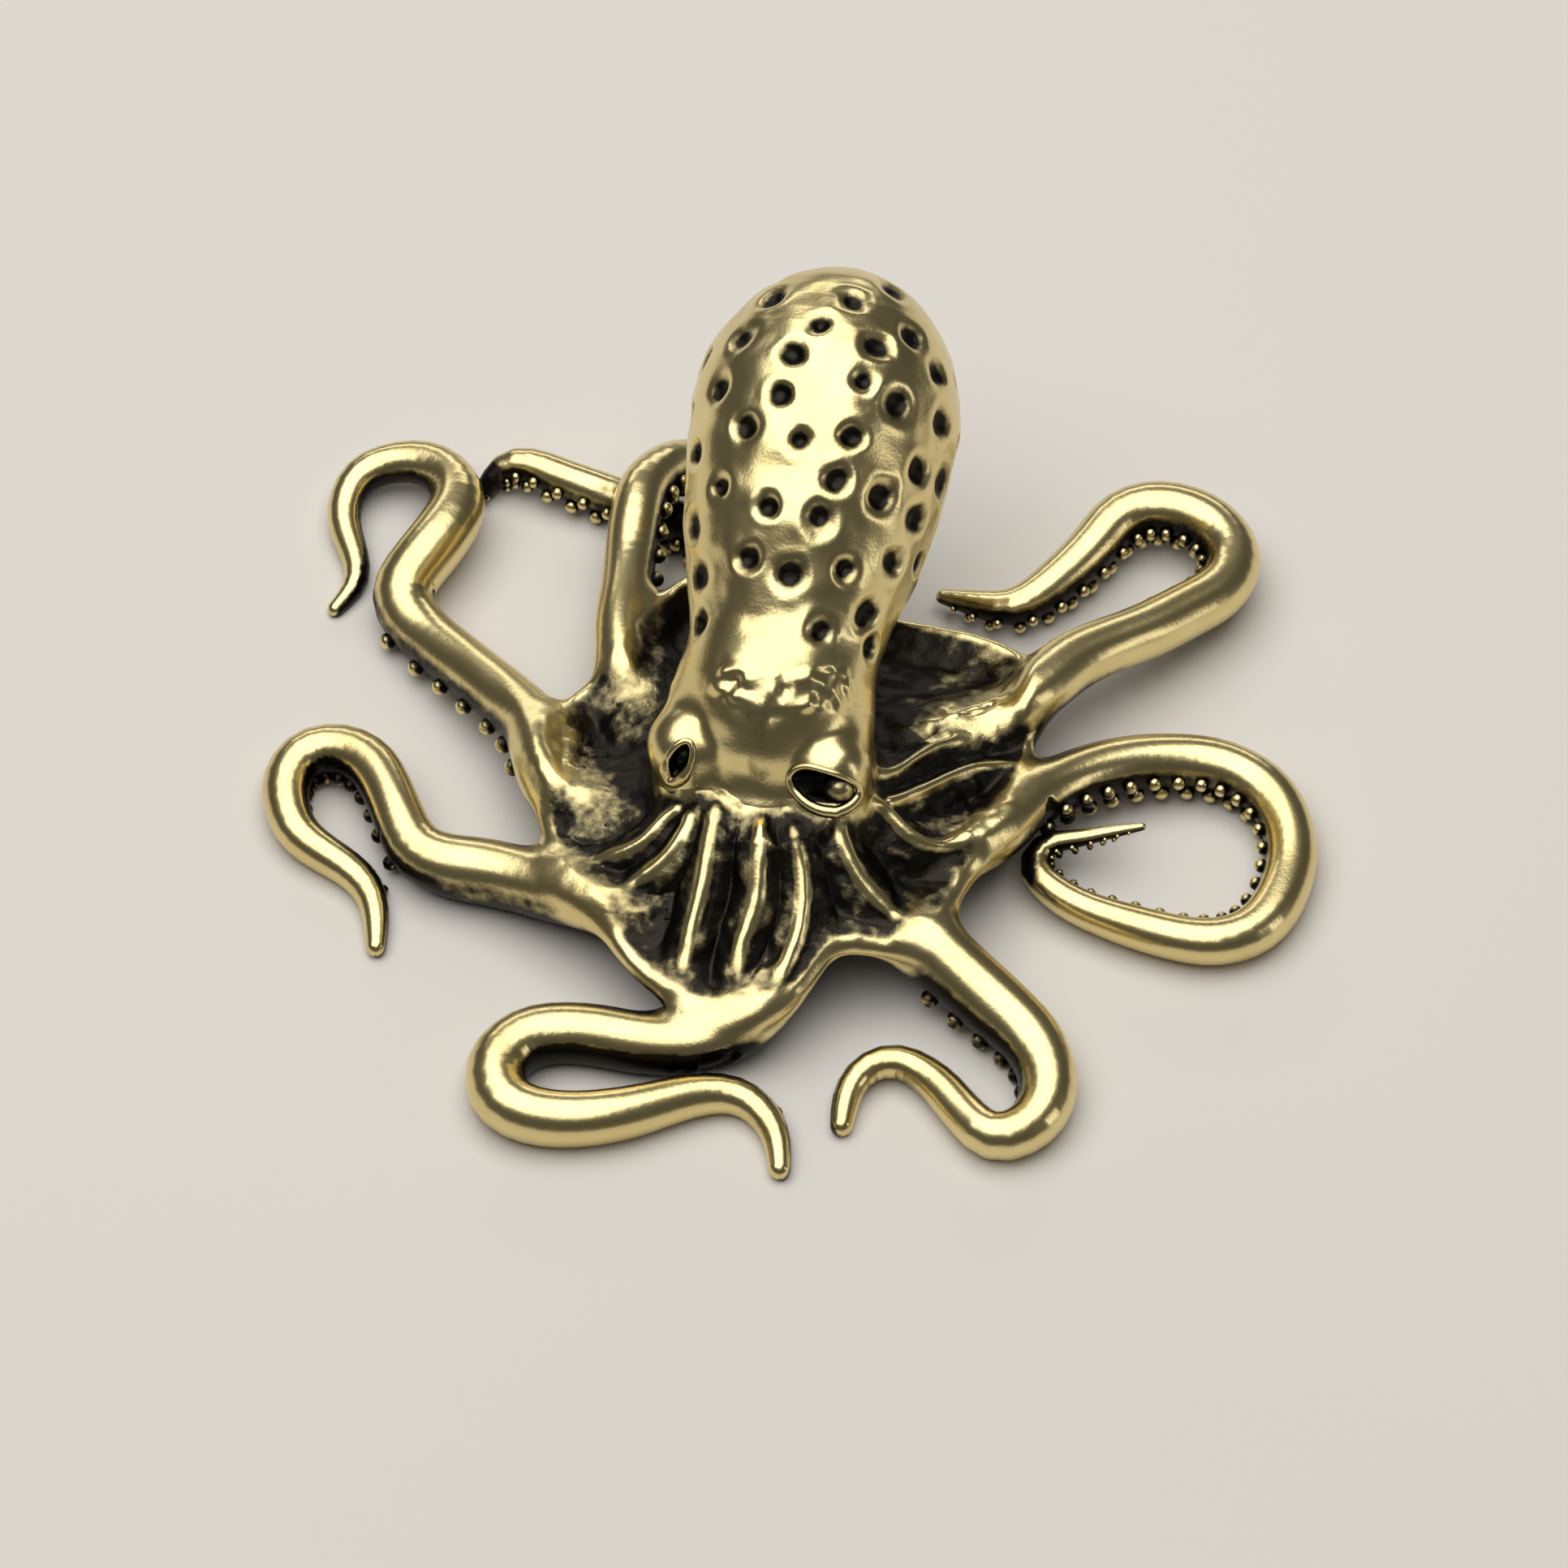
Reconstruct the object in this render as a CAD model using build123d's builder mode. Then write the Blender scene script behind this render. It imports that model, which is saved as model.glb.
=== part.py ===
from build123d import *
from math import acos, asin, cos, degrees, radians, sin
import os

# Cast brass octopus figurine: a dimpled mantle on a small head, eight curling arms with suckers, and a web between
# them. Millimetres, +Z up, the front towards -Y. The origin is at the middle of the bounding box, on the surface
# that the figurine stands on.

# Arms: how far they reach from side to side, how high their roots lie, and how thick they are at the root
arm_reach = 35.6
arm_lift = 2.0
arm_thickness = 2.3
arm_flat_depth = 0.12
section_spacing = 1.1

# Web: a shallow bell round the head, scalloped between the arms and higher at the rear
web_mouth_radius = 1.2
web_hub_radius = 2.5
web_outer_radius = 11.5
web_rim_height = 2.4
web_rise = 3.1
web_thickness = 0.65
web_tilt = 4.0
web_flare = 2.2
web_profile_steps = 8

# Head: a trunk that rises from the web to a ball, with two swellings for the eyes
trunk_radius = 3.3
trunk_base_height = 1.1
head_height = 5.82
head_radius = 3.25
head_yaw = 12.5
eye_swelling_radius = 1.45
eye_spread = 2.4
eye_forward = 1.6
eye_splay = 16.0
eye_rise = 20.0
eye_ball_radius = 0.72
eye_ball_inset = 0.3
eye_rim_radius = 0.88
eye_rim_wire_radius = 0.24

# Mantle: an egg that leans back from the head, with dimples all over
mantle_length = 15.4
mantle_radius = 4.65
mantle_lean = 24.0
mantle_yaw = 11.0
neck_distance = 0.9
dimple_radius = 0.60
dimple_depth = 0.27

# Folds: ridges that run from under the eyes down the web
fold_radius = 0.34

# Suckers: beads in rows along the inner side of each arm
sucker_radius = 0.36
sucker_stand_share = 0.35
sucker_crook_share = 1.3
sucker_pitch = 1.6
sucker_floor_gap = 0.03
sucker_seat_gap = 0.04

# Overrun of the cuts
overrun = 1.0

arm_path_shares = {
    "left_rear": [
        (-0.050, 0.002, 1.15, 0.90),
        (-0.148, 0.020, 1.10, 0.98),
        (-0.202, 0.057, 0.98, 1.00),
        (-0.231, 0.134, 0.68, 0.95),
        (-0.268, 0.192, 0.42, 0.91),
        (-0.308, 0.244, 0.20, 0.90),
        (-0.344, 0.289, 0.06, 0.91),
        (-0.361, 0.327, 0.10, 0.94),
        (-0.345, 0.364, 0.24, 0.96),
        (-0.322, 0.401, 0.32, 0.94),
        (-0.310, 0.441, 0.34, 0.87),
        (-0.318, 0.474, 0.34, 0.78),
        (-0.345, 0.498, 0.32, 0.70),
        (-0.378, 0.503, 0.26, 0.64),
        (-0.406, 0.492, 0.18, 0.60),
        (-0.421, 0.466, 0.10, 0.55),
        (-0.422, 0.436, 0.05, 0.51),
        (-0.413, 0.404, 0.02, 0.46),
        (-0.409, 0.370, 0.00, 0.39),
        (-0.428, 0.335, 0.00, 0.28),
    ],
    "left_front": [
        (-0.038, -0.033, 1.10, 0.90),
        (-0.125, -0.086, 0.85, 1.00),
        (-0.191, -0.065, 0.46, 1.01),
        (-0.233, -0.040, 0.24, 1.00),
        (-0.274, -0.022, 0.10, 1.00),
        (-0.310, -0.011, 0.06, 0.96),
        (-0.337, 0.006, 0.12, 0.88),
        (-0.356, 0.041, 0.26, 0.81),
        (-0.371, 0.081, 0.30, 0.80),
        (-0.390, 0.113, 0.28, 0.80),
        (-0.418, 0.131, 0.22, 0.78),
        (-0.447, 0.129, 0.14, 0.76),
        (-0.465, 0.104, 0.10, 0.73),
        (-0.466, 0.071, 0.06, 0.70),
        (-0.453, 0.038, 0.02, 0.65),
        (-0.427, 0.014, 0.00, 0.60),
        (-0.402, -0.006, 0.00, 0.55),
        (-0.384, -0.031, 0.00, 0.50),
        (-0.377, -0.061, 0.00, 0.43),
        (-0.376, -0.092, 0.00, 0.34),
    ],
    "front_left": [
        (-0.004, -0.048, 1.10, 0.84),
        (0.004, -0.140, 0.78, 0.92),
        (-0.009, -0.186, 0.38, 0.98),
        (-0.044, -0.218, 0.14, 0.95),
        (-0.092, -0.229, 0.06, 0.92),
        (-0.145, -0.220, 0.02, 0.92),
        (-0.195, -0.211, 0.00, 0.92),
        (-0.236, -0.223, 0.00, 0.92),
        (-0.258, -0.259, 0.00, 0.91),
        (-0.248, -0.293, 0.00, 0.89),
        (-0.212, -0.311, 0.00, 0.86),
        (-0.163, -0.310, 0.00, 0.82),
        (-0.114, -0.296, 0.00, 0.75),
        (-0.069, -0.279, 0.00, 0.66),
        (-0.032, -0.279, 0.00, 0.57),
        (-0.007, -0.300, 0.00, 0.50),
        (0.005, -0.331, 0.00, 0.43),
        (0.007, -0.358, 0.00, 0.36),
    ],
    "front_right": [
        (0.034, -0.042, 1.10, 0.84),
        (0.104, -0.100, 0.80, 0.93),
        (0.146, -0.132, 0.50, 1.06),
        (0.182, -0.162, 0.26, 1.05),
        (0.214, -0.191, 0.12, 1.02),
        (0.242, -0.222, 0.06, 0.95),
        (0.257, -0.260, 0.02, 0.89),
        (0.253, -0.298, 0.00, 0.83),
        (0.234, -0.323, 0.00, 0.77),
        (0.209, -0.330, 0.00, 0.73),
        (0.186, -0.311, 0.00, 0.67),
        (0.165, -0.280, 0.02, 0.62),
        (0.141, -0.252, 0.06, 0.56),
        (0.113, -0.239, 0.10, 0.50),
        (0.087, -0.249, 0.10, 0.46),
        (0.071, -0.274, 0.04, 0.43),
        (0.065, -0.307, 0.00, 0.36),
    ],
    "right_front": [
        (0.052, -0.004, 1.20, 0.84),
        (0.137, -0.016, 1.00, 0.95),
        (0.191, -0.010, 0.80, 0.98),
        (0.242, 0.040, 0.60, 0.92),
        (0.290, 0.082, 0.42, 0.88),
        (0.338, 0.106, 0.28, 0.86),
        (0.387, 0.116, 0.18, 0.84),
        (0.434, 0.111, 0.12, 0.83),
        (0.472, 0.085, 0.08, 0.82),
        (0.493, 0.042, 0.04, 0.80),
        (0.494, -0.007, 0.00, 0.80),
        (0.479, -0.054, 0.00, 0.79),
        (0.450, -0.089, 0.04, 0.76),
        (0.412, -0.100, 0.08, 0.73),
        (0.371, -0.092, 0.10, 0.69),
        (0.328, -0.075, 0.12, 0.64),
        (0.291, -0.057, 0.16, 0.57),
        (0.262, -0.033, 0.24, 0.51),
        (0.250, -0.007, 0.32, 0.45),
        (0.261, 0.010, 0.44, 0.39),
        (0.285, 0.012, 0.60, 0.32),
        (0.315, 0.014, 0.76, 0.24),
        (0.352, 0.016, 0.96, 0.14),
    ],
    "right_rear": [
        (0.044, 0.040, 1.20, 0.90),
        (0.155, 0.108, 1.14, 0.94),
        (0.243, 0.149, 1.08, 0.92),
        (0.289, 0.202, 0.94, 0.90),
        (0.325, 0.231, 0.80, 0.88),
        (0.364, 0.259, 0.64, 0.88),
        (0.403, 0.291, 0.50, 0.87),
        (0.435, 0.322, 0.38, 0.86),
        (0.451, 0.364, 0.32, 0.84),
        (0.439, 0.404, 0.30, 0.84),
        (0.408, 0.429, 0.30, 0.85),
        (0.376, 0.436, 0.30, 0.85),
        (0.343, 0.425, 0.28, 0.83),
        (0.317, 0.394, 0.24, 0.78),
        (0.291, 0.362, 0.20, 0.74),
        (0.263, 0.335, 0.18, 0.68),
        (0.235, 0.320, 0.18, 0.59),
        (0.203, 0.325, 0.20, 0.46),
        (0.168, 0.339, 0.24, 0.26),
    ],
    "rear_left": [
        (-0.030, 0.036, 1.10, 0.86),
        (-0.108, 0.142, 1.12, 0.84),
        (-0.145, 0.214, 1.08, 0.82),
        (-0.143, 0.284, 1.02, 0.82),
        (-0.139, 0.339, 0.95, 0.81),
        (-0.134, 0.388, 1.06, 0.80),
        (-0.122, 0.434, 1.04, 0.78),
        (-0.098, 0.472, 0.80, 0.73),
        (-0.066, 0.496, 0.38, 0.68),
        (-0.030, 0.490, 0.20, 0.60),
        (-0.003, 0.470, 0.08, 0.51),
        (0.018, 0.445, 0.02, 0.42),
        (0.040, 0.432, 0.00, 0.32),
    ],
    "rear_right": [
        (0.002, 0.045, 0.95, 0.86),
        (0.030, 0.160, 0.92, 0.86),
        (0.040, 0.230, 0.76, 0.85),
        (0.034, 0.294, 0.56, 0.83),
        (0.004, 0.348, 0.20, 0.80),
        (-0.036, 0.390, 0.00, 0.77),
        (-0.080, 0.424, 0.00, 0.74),
        (-0.124, 0.451, 0.00, 0.71),
        (-0.160, 0.468, 0.06, 0.68),
        (-0.190, 0.479, 0.16, 0.65),
        (-0.215, 0.489, 0.24, 0.62),
        (-0.238, 0.500, 0.28, 0.57),
        (-0.256, 0.504, 0.26, 0.52),
        (-0.271, 0.500, 0.18, 0.45),
        (-0.283, 0.489, 0.06, 0.36),
        (-0.297, 0.487, 0.00, 0.24),
    ],
}

# Radius share along each arm's rounded tip, at distances in tip radii past its last point
tip_shares = [(0.6, 0.8), (0.95, 0.35)]

# Suckers of each arm: the side they are on (1 is left of the way out), the angle of each row from straight down in
# degrees, and the shares of the arm's length where the rows start and end
sucker_rows = {
    "left_rear": (1, (66,), (0.24, 0.82)),
    "left_front": (1, (54,), (0.28, 0.93)),
    "front_left": (1, (54,), (0.74, 0.94)),
    "front_right": (-1, (54,), (0.28, 0.93)),
    "right_front": (-1, (57, 99), (0.24, 0.97)),
    "right_rear": (1, (66,), (0.36, 0.96)),
    "rear_left": (-1, (66,), (0.52, 0.95)),
    "rear_right": (1, (66,), (0.40, 0.95)),
}

# Web rim: angle round the head in degrees from +X, and distance as a share of the web's outer radius
web_rim_shares = [
    (8, 0.76),
    (22, 0.84),
    (38, 1.00),
    (52, 0.95),
    (66, 0.88),
    (84, 0.92),
    (104, 1.00),
    (120, 0.86),
    (138, 0.78),
    (156, 0.80),
    (176, 0.70),
    (197, 0.66),
    (218, 0.64),
    (238, 0.68),
    (258, 0.70),
    (276, 0.64),
    (290, 0.54),
    (314, 0.64),
    (336, 0.62),
]

# Trunk: height from its base to the head's middle, its radius, and how far its middle has moved to the head's, as shares
trunk_shares = [
    (0.00, 0.94, 0.0),
    (0.25, 1.00, 0.1),
    (0.55, 0.96, 0.4),
    (0.80, 0.95, 0.75),
    (1.00, 0.92, 1.0),
]

# Head's middle beside the arms' middle, as shares of the arms' reach
head_place_shares = (-0.002, 0.054)

# Mantle's outline from neck to crown: shares of its length and of its radius
mantle_outline_shares = [
    (0.00, 0.69),
    (0.065, 0.70),
    (0.196, 0.77),
    (0.345, 0.90),
    (0.532, 0.99),
    (0.673, 1.00),
    (0.822, 0.86),
    (0.925, 0.60),
    (0.981, 0.30),
]

# Dimples: share of the mantle's length, and angle round it in degrees from the top over the right side
dimple_shares = [
    (0.08, -12), (0.11, 28), (0.12, 68), (0.11, -60), (0.18, 55), (0.21, -60), (0.21, 3), (0.24, -21), (0.25, 32),
    (0.30, 59), (0.32, -62), (0.34, 13), (0.34, 86), (0.35, -12), (0.39, -39), (0.41, 65), (0.42, 40), (0.43, 17),
    (0.48, -60), (0.50, -2), (0.51, 57), (0.52, 80), (0.52, -28), (0.53, 20), (0.60, -14), (0.62, -48), (0.63, 37),
    (0.64, 66), (0.66, 20), (0.64, 92), (0.70, -12), (0.74, -41), (0.75, 24), (0.75, 60), (0.78, -3), (0.78, 88),
    (0.81, 44), (0.85, -36), (0.86, 10), (0.18, 105), (0.19, -100), (0.19, 150), (0.19, -145), (0.29, 120),
    (0.30, -178), (0.30, -128), (0.32, -92), (0.31, 152), (0.43, 96), (0.42, 130), (0.41, 163), (0.42, -160),
    (0.42, -125), (0.44, -90), (0.53, 112), (0.54, 145), (0.54, 178), (0.54, -145), (0.56, -110), (0.59, -78),
    (0.66, 122), (0.65, 155), (0.66, -168), (0.67, -135), (0.69, -100), (0.72, -70), (0.78, 122), (0.78, 165),
    (0.78, -152), (0.79, -112), (0.85, -76), (0.88, 100), (0.89, 160), (0.89, -130), (0.93, 40), (0.93, -60),
    (0.96, 170),
]

# Folds: places of their middle lines on the web, as shares of its outer radius
fold_path_shares = {
    "left_upper": [(-0.25, -0.09), (-0.31, -0.11), (-0.36, -0.15), (-0.43, -0.17), (-0.53, -0.17)],
    "left_lower": [(-0.23, -0.11), (-0.27, -0.19), (-0.35, -0.25), (-0.44, -0.28)],
    "front_left": [(-0.16, -0.12), (-0.19, -0.25), (-0.21, -0.35), (-0.24, -0.45), (-0.26, -0.56)],
    "front": [(-0.03, -0.16), (-0.04, -0.30), (-0.05, -0.39), (-0.09, -0.49), (-0.10, -0.59)],
    "front_right": [(0.06, -0.20), (0.09, -0.38), (0.07, -0.48), (0.02, -0.58), (-0.03, -0.66)],
    "right_lower": [(0.24, -0.08), (0.32, -0.07), (0.39, -0.12), (0.45, -0.14), (0.56, -0.10), (0.68, -0.02)],
    "right_middle": [(0.30, -0.08), (0.36, -0.03), (0.47, 0.07), (0.61, 0.19), (0.72, 0.23)],
    "right_upper": [(0.27, 0.02), (0.34, 0.06), (0.43, 0.17), (0.54, 0.28), (0.64, 0.34)],
    "right_front": [(0.18, -0.14), (0.21, -0.22), (0.26, -0.30), (0.33, -0.36), (0.42, -0.42)],
}

# Fold's section from end to end: share of its length, its radius, and how deep its middle lies under the web's top
fold_section_shares = [(0.0, 0.60, 0.80), (0.25, 0.95, 0.25), (0.5, 1.0, 0.20), (0.75, 0.90, 0.30), (1.0, 0.45, 0.95)]


def value_between(places, values, place):
    """The value at a place, in line between the values at the two places beside it."""
    for low, high, low_value, high_value in zip(places, places[1:], values, values[1:]):
        if low <= place <= high:
            return low_value + (high_value - low_value) * (place - low) / (high - low)
    return values[-1] if place > places[-1] else values[0]


def arm_sections(name):
    """Places, headings and radii at even distances along an arm, and round its tip.

    A point with no lift lies on the surface by the arm's flat. The path is a spline through the points.
    """
    points = []
    radii = []
    for x_share, y_share, lift_share, thickness_share in arm_path_shares[name]:
        radius = arm_thickness * thickness_share / 2
        height = radius - arm_flat_depth + arm_lift * lift_share
        points.append(Vector(arm_reach * x_share, arm_reach * y_share, height))
        radii.append(radius)
    path = Edge.make_spline(points)
    knots = [path.param_at_point(point) for point in points]
    count = round(path.length / section_spacing)
    sections = []
    for step in range(count + 1):
        place = path.position_at(step / count)
        radius = value_between(knots, radii, path.param_at_point(place))
        sections.append((place, path.tangent_at(step / count), radius))
    end, heading, radius = sections[-1]
    for distance_share, radius_share in tip_shares:
        sections.append((end + heading * radius * distance_share, heading, radius * radius_share))
    return sections


def section_plane(place, heading):
    """A plane square to an arm's heading, with its X axis level."""
    return Plane(origin=place, x_dir=Vector(0, 0, 1).cross(heading), z_dir=heading)


def direction(azimuth, rise):
    """The unit vector at an azimuth in degrees from +Y over +X, and a rise in degrees."""
    level = cos(radians(rise))
    return Vector(level * sin(radians(azimuth)), level * cos(radians(azimuth)), sin(radians(rise)))


# Head's middle, and the directions to the back of the head and to its right as the viewer sees it
head_middle = Vector(arm_reach * head_place_shares[0], arm_reach * head_place_shares[1], head_height)
face_back = direction(head_yaw, 0)
face_right = direction(head_yaw + 90, 0)


def eye_place(side):
    """The middle of the eye's swelling: side is -1 at the left and 1 at the right."""
    return head_middle + face_right * side * eye_spread - face_back * eye_forward


def eye_gaze(side):
    """The direction in which the eye looks."""
    return direction(head_yaw + 180 - side * eye_splay, eye_rise)


def eye_ball_place(side):
    """The middle of the eyeball, which stands out of the swelling by its radius less its inset."""
    return eye_place(side) + eye_gaze(side) * (eye_swelling_radius - eye_ball_inset)


pieces = []
sides = {"left": -1, "right": 1}

# Head: trunk, ball and swellings in one, with sockets for the eyes
with BuildPart() as head:
    for height_share, radius_share, shift_share in trunk_shares:
        height = trunk_base_height + (head_height - trunk_base_height) * height_share
        with BuildSketch(Plane(origin=(head_middle.X * shift_share, head_middle.Y * shift_share, height))):
            Circle(trunk_radius * radius_share)
    loft()
    with Locations(head_middle):
        Sphere(head_radius)
    with Locations([eye_place(side) for side in sides.values()]):
        Sphere(eye_swelling_radius)
    with Locations([eye_ball_place(side) for side in sides.values()]):
        Sphere(eye_ball_radius, mode=Mode.SUBTRACT)
head.part.label = "head"
pieces.append(head.part)

# Eyes: a ball in each socket and a raised rim round it
eye_rims = []
for side_name, side in sides.items():
    with BuildPart() as eyeball:
        with Locations(eye_ball_place(side)):
            Sphere(eye_ball_radius)
    eyeball.part.label = f"eyeball_{side_name}"
    pieces.append(eyeball.part)

    rim_distance = (eye_swelling_radius**2 - eye_rim_radius**2) ** 0.5
    rim_place = eye_place(side) + eye_gaze(side) * rim_distance
    with BuildPart() as eye_rim:
        with Locations(Plane(origin=rim_place, z_dir=eye_gaze(side))):
            Torus(eye_rim_radius, eye_rim_wire_radius)
        add(head.part, mode=Mode.SUBTRACT)
        add(eyeball.part, mode=Mode.SUBTRACT)
    eye_rim.part.label = f"eye_rim_{side_name}"
    eye_rims.append(eye_rim.part)
    pieces.append(eye_rim.part)

# Mantle: an egg turned about its axis, seated on the head's ball, with its dimples
mantle_axis = direction(mantle_yaw, mantle_lean)
mantle_plane = Plane(
    origin=head_middle + mantle_axis * neck_distance,
    x_dir=direction(mantle_yaw + 90, 0),
    z_dir=mantle_axis,
)


mantle_outline = [(mantle_radius * r_share, mantle_length * s_share) for s_share, r_share in mantle_outline_shares]
with BuildPart() as egg:
    with BuildSketch(Plane(origin=mantle_plane.origin, x_dir=mantle_plane.x_dir, z_dir=-mantle_plane.y_dir)):
        with BuildLine():
            Spline(*mantle_outline, (0, mantle_length), tangents=[(0, 1), (-1, 0)])
            Line((0, mantle_length), (0, 0))
            Line((0, 0), mantle_outline[0])
        make_face()
    revolve(axis=Axis(mantle_plane.origin, mantle_plane.z_dir))

with BuildPart() as mantle:
    add(egg.part)
    add(head.part, mode=Mode.SUBTRACT)
    dimple_seats = []
    for length_share, angle in dimple_shares:
        skin_share = value_between(*zip(*mantle_outline_shares), length_share)
        reach = mantle_radius * skin_share + dimple_radius - dimple_depth
        seat = mantle_plane.origin + mantle_axis * mantle_length * length_share
        outward = mantle_plane.x_dir * sin(radians(angle)) - mantle_plane.y_dir * cos(radians(angle))
        dimple_seats.append(Plane(origin=seat + outward * reach, x_dir=mantle_axis, z_dir=outward))
    with Locations(dimple_seats):
        Sphere(dimple_radius, mode=Mode.SUBTRACT)
mantle.part.label = "mantle"
pieces.append(mantle.part)

# Arms: round sections lofted along each path, cut by the head and the egg, and flat where they lie on the surface
arms = {}
for name in arm_path_shares:
    with BuildPart() as arm:
        for place, heading, radius in arm_sections(name):
            with BuildSketch(section_plane(place, heading)):
                Circle(radius)
        loft()
        for neighbour in (head.part, egg.part):
            add(neighbour, mode=Mode.SUBTRACT)
        split(bisect_by=Plane.XY, keep=Keep.TOP)
    arm.part.label = f"arm_{name}"
    arms[name] = arm.part
    pieces.append(arm.part)


def sucker_places(name):
    """Seats and radii of an arm's beads, which shrink and close up towards its tip. A seat's Z axis points outwards.

    A row climbs the arm's side where its beads would reach under the surface that the arm lies on, and a bead in the
    crook of a bend is lifted until its base clears the arm before and behind it.
    """
    side, row_angles, (first_share, last_share) = sucker_rows[name]
    sections = arm_sections(name)
    path = Edge.make_spline([place for place, heading, radius in sections])
    knots = [path.param_at_point(place) for place, heading, radius in sections]
    radii = [radius for place, heading, radius in sections]

    def wall(distance, angle):
        """The arm's wall at a distance along it, at an angle from straight down, and the way out of it."""
        place = path.position_at(distance / path.length)
        heading = path.tangent_at(distance / path.length)
        radius = value_between(knots, radii, path.param_at_point(place))
        outwards = Vector(0, 0, 1).cross(heading).normalized() * side
        down = outwards.cross(heading) * side
        outward = outwards * sin(angle) + down * cos(angle)
        return place, place + outward * radius, outward, radius

    beads = []
    distance = path.length * first_share
    while distance < path.length * last_share:
        place, seat, outward, radius = wall(distance, 0)
        size_share = radius * 2 / arm_thickness
        bead = sucker_radius * size_share
        floor_share = (place.Z - bead - sucker_floor_gap) / (radius + bead * sucker_stand_share)
        floor_angle = acos(max(-1.0, min(1.0, floor_share)))
        for row_angle in row_angles:
            angle = max(radians(row_angle), floor_angle)
            place, seat, outward, radius = wall(distance, angle)
            lift = sucker_seat_gap
            for beside in (-bead * sucker_crook_share, bead * sucker_crook_share):
                near = wall(distance + beside, angle)[1]
                lift = max(lift, (near - seat).dot(outward) + sucker_seat_gap)
            beads.append((Plane(origin=seat + outward * lift, z_dir=outward), bead))
        distance += sucker_pitch * size_share
    return beads


# Suckers: a row or two of beads on each arm, each flat where it sits on the arm
bead_base_angle = -degrees(asin(sucker_stand_share))
for name in sucker_rows:
    beads = []
    for seat, bead_radius in sucker_places(name):
        on_base = (Align.CENTER, Align.CENTER, Align.MIN)
        bead = Sphere(bead_radius, arc_size1=bead_base_angle, align=on_base, mode=Mode.PRIVATE)
        beads.append(seat.location * bead)
    with BuildPart() as suckers:
        add(beads)
    suckers.part.label = f"suckers_{name}"
    pieces.append(suckers.part)


def web_top(radius):
    """The web's top at a distance from its axis: level at the hub, and flaring down to its rim's height."""
    inward_share = (web_outer_radius - radius) / (web_outer_radius - web_hub_radius)
    inward_share = min(1.0, max(0.0, inward_share))
    return web_rim_height + web_rise * inward_share**web_flare


def web_surface(x_share, y_share):
    """The place on the web's top over a place given as shares of its outer radius."""
    x, y = web_outer_radius * x_share, web_outer_radius * y_share
    height = (web_top((x * x + y * y) ** 0.5) - y * web_axis.Y) / web_axis.Z
    return Vector(x, y, height)


# Web: a bell turned about a tilted axis, with its folds, cut to the scalloped rim and to the pieces that it joins
web_axis = direction(180, 90 - web_tilt)
folds = []
for name, path_shares in fold_path_shares.items():
    path = Edge.make_spline([web_surface(*place_shares) for place_shares in path_shares])
    with BuildPart() as fold:
        for length_share, radius_share, sink_share in fold_section_shares:
            heading = path.tangent_at(length_share)
            sunk = path.position_at(length_share) - web_axis * fold_radius * sink_share
            with BuildSketch(section_plane(sunk, heading)):
                Circle(fold_radius * radius_share)
        loft()
    folds.append(fold.part)
web_outline = []
for angle, distance_share in web_rim_shares:
    reach = web_outer_radius * distance_share
    web_outline.append((reach * cos(radians(angle)), reach * sin(radians(angle))))
web_tops = []
for step in range(web_profile_steps + 1):
    radius = web_mouth_radius + (web_outer_radius + overrun - web_mouth_radius) * step / web_profile_steps
    web_tops.append((radius, web_top(radius)))
web_bottoms = [(radius, height - web_thickness) for radius, height in reversed(web_tops)]
with BuildPart() as web:
    with BuildSketch(Plane.XY):
        with BuildLine():
            Spline(*web_outline, periodic=True)
        make_face()
    extrude(amount=web_rim_height + web_rise + overrun)
    with BuildSketch(Plane(origin=(0, 0, 0), x_dir=(1, 0, 0), z_dir=Vector(1, 0, 0).cross(web_axis))):
        with BuildLine():
            Spline(*web_tops)
            Line(web_tops[-1], web_bottoms[0])
            Spline(*web_bottoms)
            Line(web_bottoms[-1], web_tops[0])
        make_face()
    revolve(axis=Axis((0, 0, 0), web_axis), mode=Mode.INTERSECT)
    add(folds)
    for neighbour in (head.part, egg.part, *eye_rims, *arms.values()):
        add(neighbour, mode=Mode.SUBTRACT)
    keep_largest = web.solids().sort_by(SortBy.VOLUME)[-1]
    add(keep_largest, mode=Mode.REPLACE)
web.part.label = "web"
pieces.append(web.part)

# The figurine is moved so that the middle of its bounding box is over the origin, and each piece is written
boxes = [piece.bounding_box() for piece in pieces]
middle_x = (min(box.min.X for box in boxes) + max(box.max.X for box in boxes)) / 2
middle_y = (min(box.min.Y for box in boxes) + max(box.max.Y for box in boxes)) / 2
os.makedirs("parts", exist_ok=True)
for piece in pieces:
    placed = piece.moved(Location((-middle_x, -middle_y, 0)))
    placed.label = piece.label
    export_step(placed, f"parts/{piece.label}.step")
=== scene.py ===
# %% [markdown]
# A cast brass octopus
# This lesson dresses a small brass octopus, 36 mm long, whose pieces come from a imported CAD model. The real thing is
# one casting with a dark patina that was polished off its high places, so each surface here is worked out with numpy,
# blended into its neighbours as wax would be, and given a number at every vertex that says how dark it has stayed,
# with painted shade added on the sides that face down.

# %% Load the frame
import math

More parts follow.
